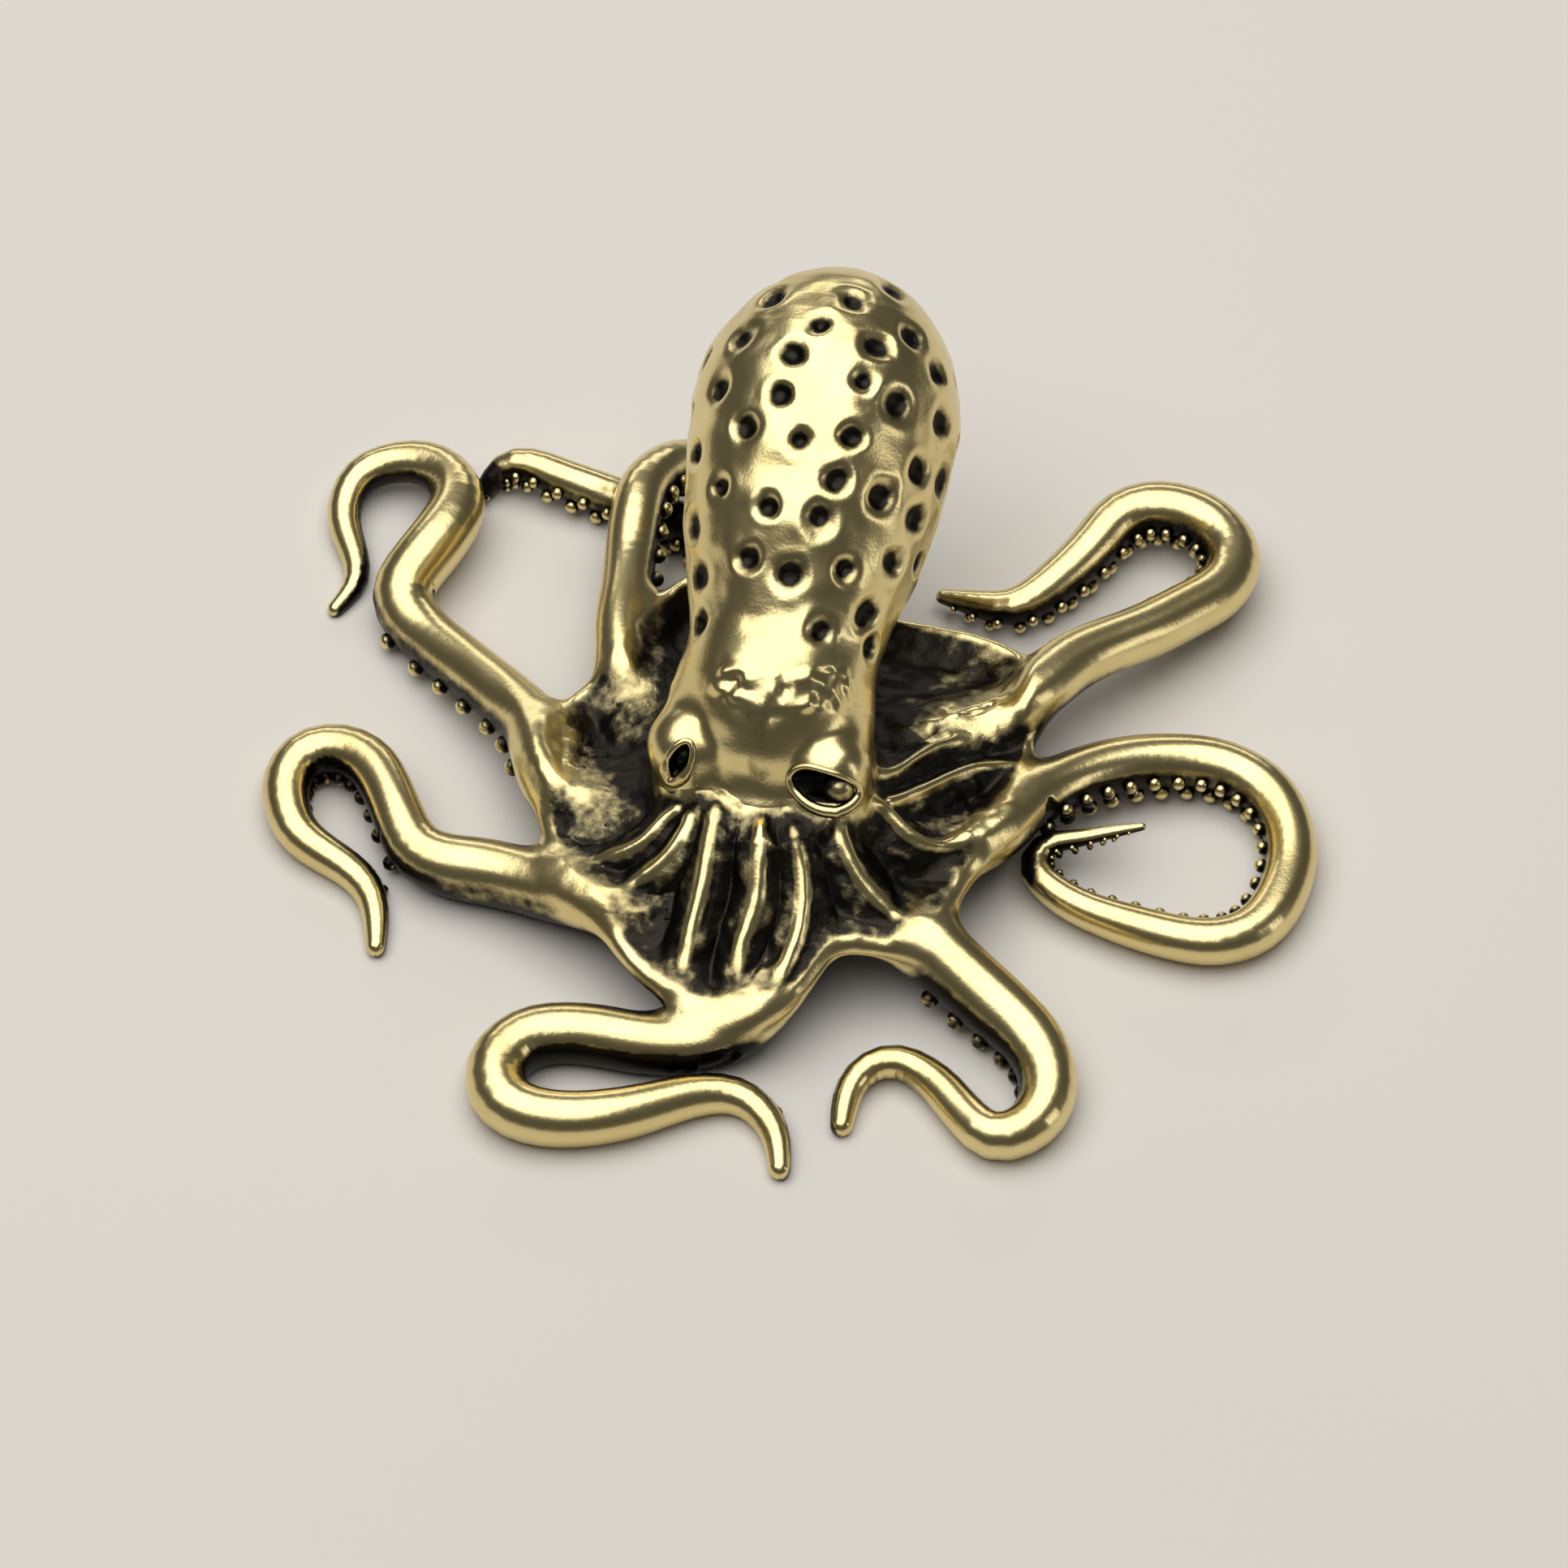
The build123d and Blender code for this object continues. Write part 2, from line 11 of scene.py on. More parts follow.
import bpy
import numpy as np
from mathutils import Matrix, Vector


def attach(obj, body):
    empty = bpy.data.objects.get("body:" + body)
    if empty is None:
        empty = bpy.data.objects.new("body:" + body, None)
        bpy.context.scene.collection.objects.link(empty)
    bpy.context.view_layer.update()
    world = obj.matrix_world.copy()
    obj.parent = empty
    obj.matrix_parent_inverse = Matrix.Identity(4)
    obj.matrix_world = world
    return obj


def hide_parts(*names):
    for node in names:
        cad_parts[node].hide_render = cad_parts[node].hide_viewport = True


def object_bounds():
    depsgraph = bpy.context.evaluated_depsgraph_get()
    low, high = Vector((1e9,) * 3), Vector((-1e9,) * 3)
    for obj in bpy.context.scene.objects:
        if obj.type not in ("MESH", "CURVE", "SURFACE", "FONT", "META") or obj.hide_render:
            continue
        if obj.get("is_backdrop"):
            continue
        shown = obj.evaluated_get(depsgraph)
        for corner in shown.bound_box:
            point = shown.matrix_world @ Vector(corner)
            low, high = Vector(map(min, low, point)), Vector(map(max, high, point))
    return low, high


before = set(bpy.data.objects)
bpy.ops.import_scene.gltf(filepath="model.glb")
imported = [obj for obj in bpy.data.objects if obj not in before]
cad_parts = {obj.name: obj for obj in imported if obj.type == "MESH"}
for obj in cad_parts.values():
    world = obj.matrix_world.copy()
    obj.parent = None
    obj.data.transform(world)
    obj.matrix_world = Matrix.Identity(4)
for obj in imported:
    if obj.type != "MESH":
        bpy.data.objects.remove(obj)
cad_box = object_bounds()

print("CAD box", cad_box)

# %% [markdown]
# The pieces are shaped in millimetres, because that is how a jeweller thinks of them, and become metres only when a
# mesh is made. The arms' middle is the origin while the shapes are worked out. The last step of each shape moves it
# so that the whole figurine is centred on the frame's origin.

# %% Units and small tools
MM = 0.001
rng = np.random.default_rng(7)


def unit(vectors):
    """Each vector divided by its length."""
    return vectors / np.maximum(np.linalg.norm(vectors, axis=-1, keepdims=True), 1e-12)


def direction(azimuth, rise):
    """The unit vector at an azimuth in degrees from +Y over +X, and a rise in degrees."""
    turn, lift = math.radians(azimuth), math.radians(rise)
    return np.array([math.sin(turn) * math.cos(lift), math.cos(turn) * math.cos(lift), math.sin(lift)])


def level_beside(ways):
    """The level direction square to each way, on its left as one looks along it."""
    return unit(np.cross([0.0, 0.0, 1.0], ways))


def lengths_along(points):
    """How far each point of a line lies from its first, measured along the line."""
    return np.concatenate([[0.0], np.cumsum(np.linalg.norm(np.diff(points, axis=0), axis=1))])


def smooth_step(low, high, values):
    """Nought below low, one above high, and 3 t squared less 2 t cubed between them."""
    share = np.clip((values - low) / (high - low), 0.0, 1.0)
    return share * share * (3.0 - 2.0 * share)


def smooth_least(first, second, width):
    """The lesser of two distances, rounded off where they differ by less than width, as wax fills a corner."""
    share = np.clip(0.5 + 0.5 * (second - first) / width, 0.0, 1.0)
    return second + (first - second) * share - width * share * (1.0 - share)


def smooth_most(first, second, width):
    """The greater of two distances, rounded off in the same way."""
    return -smooth_least(-first, -second, width)


NOISE_TABLE = rng.random((32, 32, 32))


def noise(points, size):
    """Value noise from -1 to 1: random numbers on a lattice of the given size, blended between its points."""
    place = points / size
    cell = np.floor(place).astype(int)
    part = place - cell
    part = part * part * (3.0 - 2.0 * part)
    total = np.zeros(len(points))
    for corner in range(8):
        step = np.array([corner & 1, corner >> 1 & 1, corner >> 2 & 1])
        index = (cell + step) % 32
        weight = np.prod(np.where(step, part, 1.0 - part), axis=1)
        total += weight * NOISE_TABLE[index[:, 0], index[:, 1], index[:, 2]]
    return 2.0 * total - 1.0


# %% [markdown]
# Each arm is a tapering tube. Its path is a list of points, with a lift over the table and a thickness.
# They are parts of the arms' reach, lift and thickness, so that one number makes all arms longer, higher or thicker.
# A natural cubic spline through the points gives the curl, because its bend changes evenly and a polished tube shows
# every jump in its bend as a kink in the highlight.

# %% Sizes and arm paths
ARM_REACH = 35.6
ARM_LIFT = 2.0
ARM_THICKNESS = 2.3
ARM_FLAT_DEPTH = 0.12

# Each point has x and y in thousandths of the arms' reach, then its lift and thickness in hundredths of theirs
PATH_UNITS = np.array([1000.0, 1000.0, 100.0, 100.0])
ARM_PATHS = {
    "left_rear": [
        (-50, 2, 115, 90), (-148, 20, 110, 98), (-202, 57, 98, 100), (-231, 134, 68, 95), (-268, 192, 42, 91),
        (-308, 244, 20, 90), (-344, 289, 6, 91), (-361, 327, 10, 94), (-345, 364, 24, 96), (-322, 401, 32, 94),
        (-310, 441, 34, 87), (-318, 474, 34, 78), (-345, 498, 32, 70), (-378, 503, 26, 64), (-406, 492, 18, 60),
        (-421, 466, 10, 55), (-422, 436, 5, 51), (-413, 404, 2, 46), (-409, 370, 0, 39), (-428, 335, 0, 28),
    ],
    "left_front": [
        (-38, -33, 110, 90), (-125, -86, 85, 100), (-191, -65, 46, 101), (-233, -40, 24, 100), (-274, -22, 10, 100),
        (-310, -11, 6, 96), (-337, 6, 12, 88), (-356, 41, 26, 81), (-371, 81, 30, 80), (-390, 113, 28, 80),
        (-418, 131, 22, 78), (-447, 129, 14, 76), (-465, 104, 10, 73), (-466, 71, 6, 70), (-453, 38, 2, 65),
        (-427, 14, 0, 60), (-402, -6, 0, 55), (-384, -31, 0, 50), (-377, -61, 0, 43), (-376, -92, 0, 34),
    ],
    "front_left": [
        (-4, -48, 110, 84), (4, -140, 78, 92), (-9, -186, 38, 98), (-44, -218, 14, 95), (-92, -229, 6, 92),
        (-145, -220, 2, 92), (-195, -211, 0, 92), (-236, -223, 0, 92), (-258, -259, 0, 91), (-248, -293, 0, 89),
        (-212, -311, 0, 86), (-163, -310, 0, 82), (-114, -296, 0, 75), (-69, -279, 0, 66), (-32, -279, 0, 57),
        (-7, -300, 0, 50), (5, -331, 0, 43), (7, -358, 0, 36),
    ],
    "front_right": [
        (34, -42, 110, 84), (104, -100, 80, 93), (146, -132, 50, 106), (182, -162, 26, 105), (214, -191, 12, 102),
        (242, -222, 6, 95), (257, -260, 2, 89), (253, -298, 0, 83), (234, -323, 0, 77), (209, -330, 0, 73),
        (186, -311, 0, 67), (165, -280, 2, 62), (141, -252, 6, 56), (113, -239, 10, 50), (87, -249, 10, 46),
        (71, -274, 4, 43), (65, -307, 0, 36),
    ],
    "right_front": [
        (52, -4, 120, 84), (137, -16, 100, 95), (191, -10, 80, 98), (242, 40, 60, 92), (290, 82, 42, 88),
        (338, 106, 28, 86), (387, 116, 18, 84), (434, 111, 12, 83), (472, 85, 8, 82), (493, 42, 4, 80),
        (494, -7, 0, 80), (479, -54, 0, 79), (450, -89, 4, 76), (412, -100, 8, 73), (371, -92, 10, 69),
        (328, -75, 12, 64), (291, -57, 16, 57), (262, -33, 24, 51), (250, -7, 32, 45), (261, 10, 44, 39),
        (285, 12, 60, 32), (315, 14, 76, 24), (352, 16, 96, 14),
    ],
    "right_rear": [
        (44, 40, 120, 90), (155, 108, 114, 94), (243, 149, 108, 92), (289, 202, 94, 90), (325, 231, 80, 88),
        (364, 259, 64, 88), (403, 291, 50, 87), (435, 322, 38, 86), (451, 364, 32, 84), (439, 404, 30, 84),
        (408, 429, 30, 85), (376, 436, 30, 85), (343, 425, 28, 83), (317, 394, 24, 78), (291, 362, 20, 74),
        (263, 335, 18, 68), (235, 320, 18, 59), (203, 325, 20, 46), (168, 339, 24, 26),
    ],
    "rear_left": [
        (-30, 36, 110, 86), (-108, 142, 112, 84), (-145, 214, 108, 82), (-143, 284, 102, 82), (-139, 339, 95, 81),
        (-134, 388, 106, 80), (-122, 434, 104, 78), (-98, 472, 80, 73), (-66, 496, 38, 68), (-30, 490, 20, 60),
        (-3, 470, 8, 51), (18, 445, 2, 42), (40, 432, 0, 32),
    ],
    "rear_right": [
        (2, 45, 95, 86), (30, 160, 92, 86), (40, 230, 76, 85), (34, 294, 56, 83), (4, 348, 20, 80),
        (-36, 390, 0, 77), (-80, 424, 0, 74), (-124, 451, 0, 71), (-160, 468, 6, 68), (-190, 479, 16, 65),
        (-215, 489, 24, 62), (-238, 500, 28, 57), (-256, 504, 26, 52), (-271, 500, 18, 45), (-283, 489, 6, 36),
        (-297, 487, 0, 24),
    ],
}

# %% Splines


def cubic_through(knots, values, places):
    """A natural cubic spline: its second derivatives solve a banded system so that the slopes meet at each knot."""
    gaps = np.diff(knots)
    count = len(knots)
    system = np.eye(count)
    bends = np.zeros_like(values)
    rows = np.arange(1, count - 1)
    system[rows, rows - 1] = gaps[:-1]
    system[rows, rows] = 2.0 * (gaps[:-1] + gaps[1:])
    system[rows, rows + 1] = gaps[1:]
    slopes = np.diff(values, axis=0) / gaps[:, None]
    bends[1:-1] = 6.0 * np.diff(slopes, axis=0)
    bends = np.linalg.solve(system, bends)
    index = np.clip(np.searchsorted(knots, places) - 1, 0, count - 2)
    gap = gaps[index][:, None]
    far = (places - knots[index])[:, None]
    near = gap - far
    low, high = bends[index], bends[index + 1]
    return ((low * near**3 + high * far**3) / (6.0 * gap) + (values[index] / gap - low * gap / 6.0) * near
            + (values[index + 1] / gap - high * gap / 6.0) * far)


def arm_line(name, spacing):
    """Middles and radii at even distances along an arm. A point with no lift lies on the table by the arm's flat."""
    shares = np.array(ARM_PATHS[name]) / PATH_UNITS
    radii = ARM_THICKNESS * shares[:, 3] / 2.0
    heights = radii - ARM_FLAT_DEPTH + ARM_LIFT * shares[:, 2]
    control = np.column_stack([ARM_REACH * shares[:, 0], ARM_REACH * shares[:, 1], heights, radii])
    knots = lengths_along(control[:, :3])
    fine = cubic_through(knots, control, np.linspace(0.0, knots[-1], 800))
    lengths = lengths_along(fine[:, :3])
    wanted = np.linspace(0.0, lengths[-1], int(round(lengths[-1] / spacing)) + 1)
    line = np.column_stack([np.interp(wanted, lengths, fine[:, axis]) for axis in range(4)])
    return line[:, :3], line[:, 3]


FIELD_SPACING = 0.5
field_lines = {name: arm_line(name, FIELD_SPACING) for name in ARM_PATHS}
print({name: len(line) for name, (line, radii) in field_lines.items()})

# %% [markdown]
# Wax joins wax with a small round fillet, so the pieces can't simply stand in one another. Every piece is therefore
# known as a field as well: a number at each point in space that says how far its skin is, negative inside. The lesser
# of two fields is the two pieces together, and a rounded lesser is the two with the corner between them filled.

# %% The arms as a field


def voxel_nearest(line, pitch=0.7, margin=3.0):
    """For each voxel round an arm, the index of the nearest point of its middle line, and the grid's place."""
    low = line.min(axis=0) - margin
    counts = np.ceil((line.max(axis=0) + margin - low) / pitch).astype(int)
    axes = [low[axis] + pitch * (np.arange(counts[axis]) + 0.5) for axis in range(3)]
    middles = np.stack(np.meshgrid(*axes, indexing="ij"), axis=-1).reshape(-1, 3)
    squares = (middles**2).sum(axis=1)[:, None] - 2.0 * middles @ line.T + (line**2).sum(axis=1)[None, :]
    return squares.argmin(axis=1).reshape(counts), low, pitch


ARM_TABLES = {name: voxel_nearest(line) for name, (line, radii) in field_lines.items()}

# No field needs to know a distance beyond FAR. ROOT_SINK is how much lower an arm's root was pressed into the web.
FAR = 2.0
ROOT_SINK = 1.1


def stretch_field(points, first, last, first_radius, last_radius):
    """Distance to a straight round stretch between two places, with a radius that changes evenly along it."""
    along, away = last - first, points - first
    share = np.clip((away * along).sum(axis=-1) / (along**2).sum(axis=-1), 0.0, 1.0)
    return np.linalg.norm(away - along * share[:, None], axis=1) - first_radius - share * (last_radius - first_radius)


def arm_field(points, name):
    """Distance to an arm: the least distance to the four stretches of tube round the nearest point of its line.

    Well inside the web's rim its top is lower, because there the root was pressed flat into the sheet.
    """
    line, radii = field_lines[name]
    nearest, low, pitch = ARM_TABLES[name]
    distance = np.full(len(points), FAR)
    cells = np.floor((points - low) / pitch).astype(int)
    inside = np.flatnonzero(np.all((cells >= 0) & (cells < nearest.shape), axis=1))
    if not len(inside):
        return distance
    near = points[inside]
    index = nearest[tuple(cells[inside].T)]
    best = np.full(len(near), np.inf)
    on_top = smooth_step(-0.3, 0.6, (near[:, 2] - line[index, 2]) / radii[index])
    for step in (-2, -1, 0, 1):
        start = np.clip(index + step, 0, len(line) - 2)
        gap = stretch_field(near, line[start], line[start + 1], radii[start], radii[start + 1])
        best = np.minimum(best, gap)
    distance[inside] = np.minimum(best + ROOT_SINK * on_top * smooth_step(0.3, 2.6, rim_inset(near)), FAR)
    return distance


def arms_field(points):
    """Distance to the nearest arm."""
    return np.min([arm_field(points, name) for name in ARM_PATHS], axis=0)


# %% [markdown]
# The head is a ball on a trunk, with a blunt muzzle and a swelling for each eye. The mantle is an egg turned about a
# leaning axis, and the web is a bell turned about a nearly upright one, trimmed to a wavy rim.

# %% Head, mantle and web as fields
TRUNK_RADIUS = 3.3
TRUNK_BASE_HEIGHT = 1.1
TRUNK_SHARES = [(0.00, 0.94), (0.25, 1.00), (0.55, 0.96), (0.80, 0.95), (1.00, 0.92)]
HEAD_HEIGHT = 5.82
HEAD_RADIUS = 3.25
HEAD_FILLET = 0.9
HEAD_PLACE_SHARES = (-0.002, 0.054)
HEAD_YAW = 12.5
EYE_SWELLING_RADIUS = 1.45
EYE_SPREAD = 2.4
EYE_FORWARD = 1.6
EYE_SPLAY = 16.0
EYE_RISE = 20.0
WAIST_SHARE = 0.86
BROW_SHARE = 0.90
MUZZLE_FORWARD = 1.75
MUZZLE_DROP = 1.15
MUZZLE_RADIUS = 1.45
MUZZLE_FILLET = 0.8
EYE_FILLET = 0.40

MANTLE_LENGTH = 15.4
MANTLE_RADIUS = 4.65
MANTLE_LEAN = 24.0
MANTLE_YAW = 11.0
NECK_DISTANCE = 0.9
NECK_DEPTH = 1.2
NECK_SHARE = 0.52
MANTLE_OUTLINE_SHARES = [(0.00, 0.69), (0.065, 0.70), (0.196, 0.77), (0.345, 0.90), (0.532, 0.99), (0.673, 1.00),
                         (0.822, 0.86), (0.925, 0.60), (0.981, 0.30)]

WEB_MOUTH_RADIUS = 0.8
WEB_HUB_RADIUS = 2.5
WEB_OUTER_RADIUS = 11.5
WEB_RIM_HEIGHT = 2.4
WEB_RISE = 3.1
WEB_THICKNESS = 0.65
WEB_TILT = 4.0
WEB_FLARE = 2.2
WEB_SAG = 0.62

# Round the web's rim: angles in degrees from the right towards the back, and shares of its outer radius
WEB_RIM_SHARES = [(8, 0.76), (22, 0.84), (38, 1.00), (52, 0.95), (66, 0.88), (84, 0.92), (104, 1.00), (120, 0.86),
                  (138, 0.78), (156, 0.80), (176, 0.70), (197, 0.66), (218, 0.64), (238, 0.68), (258, 0.70),
                  (276, 0.64), (290, 0.54), (314, 0.64), (336, 0.62)]

HEAD_MIDDLE = np.array([ARM_REACH * HEAD_PLACE_SHARES[0], ARM_REACH * HEAD_PLACE_SHARES[1], HEAD_HEIGHT])
FACE_BACK = direction(HEAD_YAW, 0.0)
FACE_RIGHT = direction(HEAD_YAW + 90.0, 0.0)
MANTLE_AXIS = direction(MANTLE_YAW, MANTLE_LEAN)
MANTLE_SIDE = direction(MANTLE_YAW + 90.0, 0.0)
MANTLE_TOP = np.cross(MANTLE_SIDE, MANTLE_AXIS)
MANTLE_FOOT = HEAD_MIDDLE + MANTLE_AXIS * NECK_DISTANCE
WEB_AXIS = direction(180.0, 90.0 - WEB_TILT)
SIDES = {"left": -1.0, "right": 1.0}


def eye_place(side):
    """The middle of an eye's swelling: side is -1 at the left and 1 at the right."""
    return HEAD_MIDDLE + FACE_RIGHT * side * EYE_SPREAD - FACE_BACK * EYE_FORWARD


def eye_gaze(side):
    """The direction in which an eye looks."""
    return direction(HEAD_YAW + 180.0 - side * EYE_SPLAY, EYE_RISE)


def mantle_profile(count):
    """Places along the mantle's axis and radii, from inside the head to its crown, on a spline through them."""
    points = [(-NECK_DEPTH, MANTLE_RADIUS * NECK_SHARE)]
    points += [(MANTLE_LENGTH * s, MANTLE_RADIUS * r) for s, r in MANTLE_OUTLINE_SHARES] + [(MANTLE_LENGTH, 0.0)]
    mirrored = [(s, -r) for s, r in points[-2:-4:-1]]
    whole = np.array(points + mirrored)
    knots = lengths_along(whole)
    curve = cubic_through(knots, whole, np.linspace(0.0, knots[len(points) - 1], count))
    curve[-1] = (MANTLE_LENGTH, 0.0)
    return curve[:, 0], np.maximum(curve[:, 1], 0.0)


PROFILE_PLACES, PROFILE_RADII = mantle_profile(90)


def mantle_field(points):
    """Distance to the mantle, on the plane through its axis: to its outline, with a sign by which side it is on."""
    away = points - MANTLE_FOOT
    along = away @ MANTLE_AXIS
    across = np.linalg.norm(away - along[:, None] * MANTLE_AXIS, axis=1)
    distance = np.full(len(points), np.inf)
    for index in range(0, len(PROFILE_PLACES) - 1, 3):
        last = min(index + 3, len(PROFILE_PLACES) - 1)
        run, rise = PROFILE_PLACES[last] - PROFILE_PLACES[index], PROFILE_RADII[last] - PROFILE_RADII[index]
        from_along, from_across = along - PROFILE_PLACES[index], across - PROFILE_RADII[index]
        share = np.clip((from_along * run + from_across * rise) / (run**2 + rise**2), 0.0, 1.0)
        distance = np.minimum(distance, np.hypot(from_along - share * run, from_across - share * rise))
    skin = np.interp(along, PROFILE_PLACES, PROFILE_RADII)
    outside = (across > skin) | (along > MANTLE_LENGTH) | (along < -NECK_DEPTH)
    return np.where(outside, distance, -distance)


def trunk_field(points):
    """Distance to the trunk, nearly: how far outside its radius at that height, and how far above its top."""
    share = (points[:, 2] - TRUNK_BASE_HEIGHT) / (HEAD_HEIGHT - TRUNK_BASE_HEIGHT)
    heights, radii = np.array(TRUNK_SHARES).T
    across = np.hypot(points[:, 0] - HEAD_MIDDLE[0] * share, points[:, 1] - HEAD_MIDDLE[1] * share)
    side = across - TRUNK_RADIUS * WAIST_SHARE * np.interp(share, heights, radii)
    ends = np.maximum(TRUNK_BASE_HEIGHT - points[:, 2], points[:, 2] - HEAD_HEIGHT)
    return smooth_most(side, ends, 0.4)


def head_field(points):
    """Distance to the head, nearly: ball, trunk, muzzle and the swellings of the eyes, with fillets between them."""
    ball = np.linalg.norm(points - HEAD_MIDDLE, axis=1) - HEAD_RADIUS * BROW_SHARE
    field = smooth_least(trunk_field(points), ball, HEAD_FILLET)
    chin = HEAD_MIDDLE - FACE_BACK * MUZZLE_FORWARD - [0.0, 0.0, MUZZLE_DROP]
    muzzle = stretch_field(points, HEAD_MIDDLE, chin, MUZZLE_RADIUS, MUZZLE_RADIUS)
    field = smooth_least(field, muzzle, MUZZLE_FILLET)
    for side in SIDES.values():
        inward = eye_place(side) - eye_gaze(side) * EYE_SWELLING_RADIUS + np.array([0.0, 0.0, 0.3])
        swelling = stretch_field(points, inward, eye_place(side), EYE_SWELLING_RADIUS, EYE_SWELLING_RADIUS)
        field = smooth_least(field, swelling, EYE_FILLET)
    return field


def rim_radius(angles):
    """The web's rim, as a distance from its axis: a closed cubic spline through the rim's points, by angle."""
    turns, shares = np.array(WEB_RIM_SHARES, dtype=float).T
    turns = np.concatenate([turns[-4:] - 360.0, turns, turns[:4] + 360.0])
    shares = np.concatenate([shares[-4:], shares, shares[:4]])
    places = (np.degrees(angles) - turns[4]) % 360.0 + turns[4]
    return WEB_OUTER_RADIUS * cubic_through(turns, shares[:, None], places.ravel())[:, 0].reshape(places.shape)


def rim_inset(points):
    """How far inside the web's rim each place is, as seen from above."""
    return rim_radius(np.arctan2(points[:, 1], points[:, 0])) - np.hypot(points[:, 0], points[:, 1])


def web_height(radius):
    """The web's top over its own level: it flares from its height at the head down to its rim's height."""
    inward = np.clip((WEB_OUTER_RADIUS - radius) / (WEB_OUTER_RADIUS - WEB_HUB_RADIUS), 0.0, 1.0)
    return WEB_RIM_HEIGHT + WEB_RISE * inward**WEB_FLARE


def web_parts(points):
    """Radius and height in the web's tilted frame, and the angle round it as seen from above."""
    height = points @ WEB_AXIS
    flat = points - height[:, None] * WEB_AXIS
    return np.linalg.norm(flat, axis=1), height, np.arctan2(points[:, 1], points[:, 0])


def web_sheet_field(points, arms, folds, head):
    """Distance to the web, nearly: half its thickness off its middle sheet, and inside its rim with a round edge.

    The sheet sags between its ridges, which are the arms and the folds, but not at the head or at its rim.
    """
    radius, height, angle = web_parts(points)
    inset = rim_radius(angle) - np.hypot(points[:, 0], points[:, 1])
    sag = WEB_SAG * smooth_step(0.0, 1.3, np.minimum(arms, folds)) * smooth_step(0.0, 1.6, head)
    sag = sag * smooth_step(0.1, 1.8, inset)
    middle = web_height(radius) - WEB_THICKNESS / 2.0 - sag
    slope = (web_height(radius + 0.05) - web_height(radius - 0.05)) / 0.1
    sheet = np.abs(height - middle) / np.hypot(1.0, slope) - WEB_THICKNESS / 2.0
    return smooth_most(sheet, -inset * 0.9, 0.5)


# %% [markdown]
# The photo was taken from in front, 50 degrees above the level. A camera with the same place and lens serves twice
# here: it takes the picture at the end, and it tells where a detail lies. A detail such as an eye or the brow is read
# off the photo, in its pixels, and a ray from the camera is followed until it meets the field.

# %% The camera, and places read off the photo
PHOTO_PIXELS = 1932.0
PIXELS_PER_MM = 36.5
CAMERA_RISE = math.radians(50.0)
CAMERA_DISTANCE = 300.0
CAMERA_TARGET = np.array([0.4, 0.75, 4.0])
CAMERA_FORWARD = np.array([0.0, math.cos(CAMERA_RISE), -math.sin(CAMERA_RISE)])
CAMERA_UP = np.array([0.0, math.sin(CAMERA_RISE), math.cos(CAMERA_RISE)])
CAMERA_PLACE = CAMERA_TARGET - CAMERA_DISTANCE * CAMERA_FORWARD


def from_photo(pixels, field):
    """Where the rays through some of the photo's pixels meet a field. Each goes on by the distance it still has."""
    pixels = np.array(pixels, dtype=float)
    offsets = (pixels - PHOTO_PIXELS / 2.0) / (PIXELS_PER_MM * CAMERA_DISTANCE)
    rays = unit(CAMERA_FORWARD + offsets[:, :1] * np.array([1.0, 0.0, 0.0]) - offsets[:, 1:] * CAMERA_UP)
    points = CAMERA_PLACE + rays * (CAMERA_DISTANCE - 24.0)
    for step in range(90):
        points = points + rays * np.clip(field(points) * 0.8, -0.5, 1.5)[:, None]
    return points


# %% [markdown]
# From the eyes, ridges run down the web like the folds of a skirt and out into the arms. They were rolled from wax
# thread and smoothed on, so each is a thin tapering thread that lies on the web and is blended into it.

# %% Folds of the web
FOLD_RADIUS = 0.18

# Places of each fold's middle line, seen from above, as shares of the web's outer radius
FOLD_PATH_SHARES = {
    "left_upper": [(-0.25, -0.09), (-0.31, -0.11), (-0.36, -0.15), (-0.43, -0.17), (-0.53, -0.17)],
    "left_lower": [(-0.23, -0.11), (-0.27, -0.19), (-0.35, -0.25), (-0.44, -0.28)],
    "front_left": [(-0.16, -0.12), (-0.19, -0.25), (-0.21, -0.35), (-0.24, -0.45), (-0.26, -0.56)],
    "front": [(-0.03, -0.16), (-0.04, -0.30), (-0.05, -0.39), (-0.09, -0.49), (-0.10, -0.59)],
    "front_right": [(0.06, -0.20), (0.09, -0.38), (0.07, -0.48), (0.02, -0.58), (-0.03, -0.66)],
    "right_lower": [(0.24, -0.08), (0.32, -0.07), (0.39, -0.12), (0.45, -0.14), (0.56, -0.10), (0.68, -0.02)],
    "right_middle": [(0.30, -0.08), (0.36, -0.03), (0.47, 0.07), (0.61, 0.19), (0.72, 0.23)],
    "right_upper": [(0.27, 0.02), (0.34, 0.06), (0.43, 0.17), (0.54, 0.28), (0.64, 0.34)],
    "right_front": [(0.18, -0.14), (0.21, -0.22), (0.26, -0.30), (0.33, -0.36), (0.42, -0.42)],
}

# From end to end of a fold: share of its length, share of its radius, and how deep it lies, in radii, under the web
FOLD_SECTION_SHARES = [(0.0, 0.50, 1.00), (0.10, 0.85, -0.50), (0.30, 0.95, -0.90), (0.5, 1.0, -0.90),
                       (0.75, 0.90, -0.60), (1.0, 0.50, 1.10)]

FOLD_POINTS = 20

# How wide the wax fillets are between the web and the folds, the head, the arms and the mantle
FOLD_FILLET = 0.30
WEB_FILLET = 1.0
ARM_FILLET = 0.7
MANTLE_FILLET = 1.3


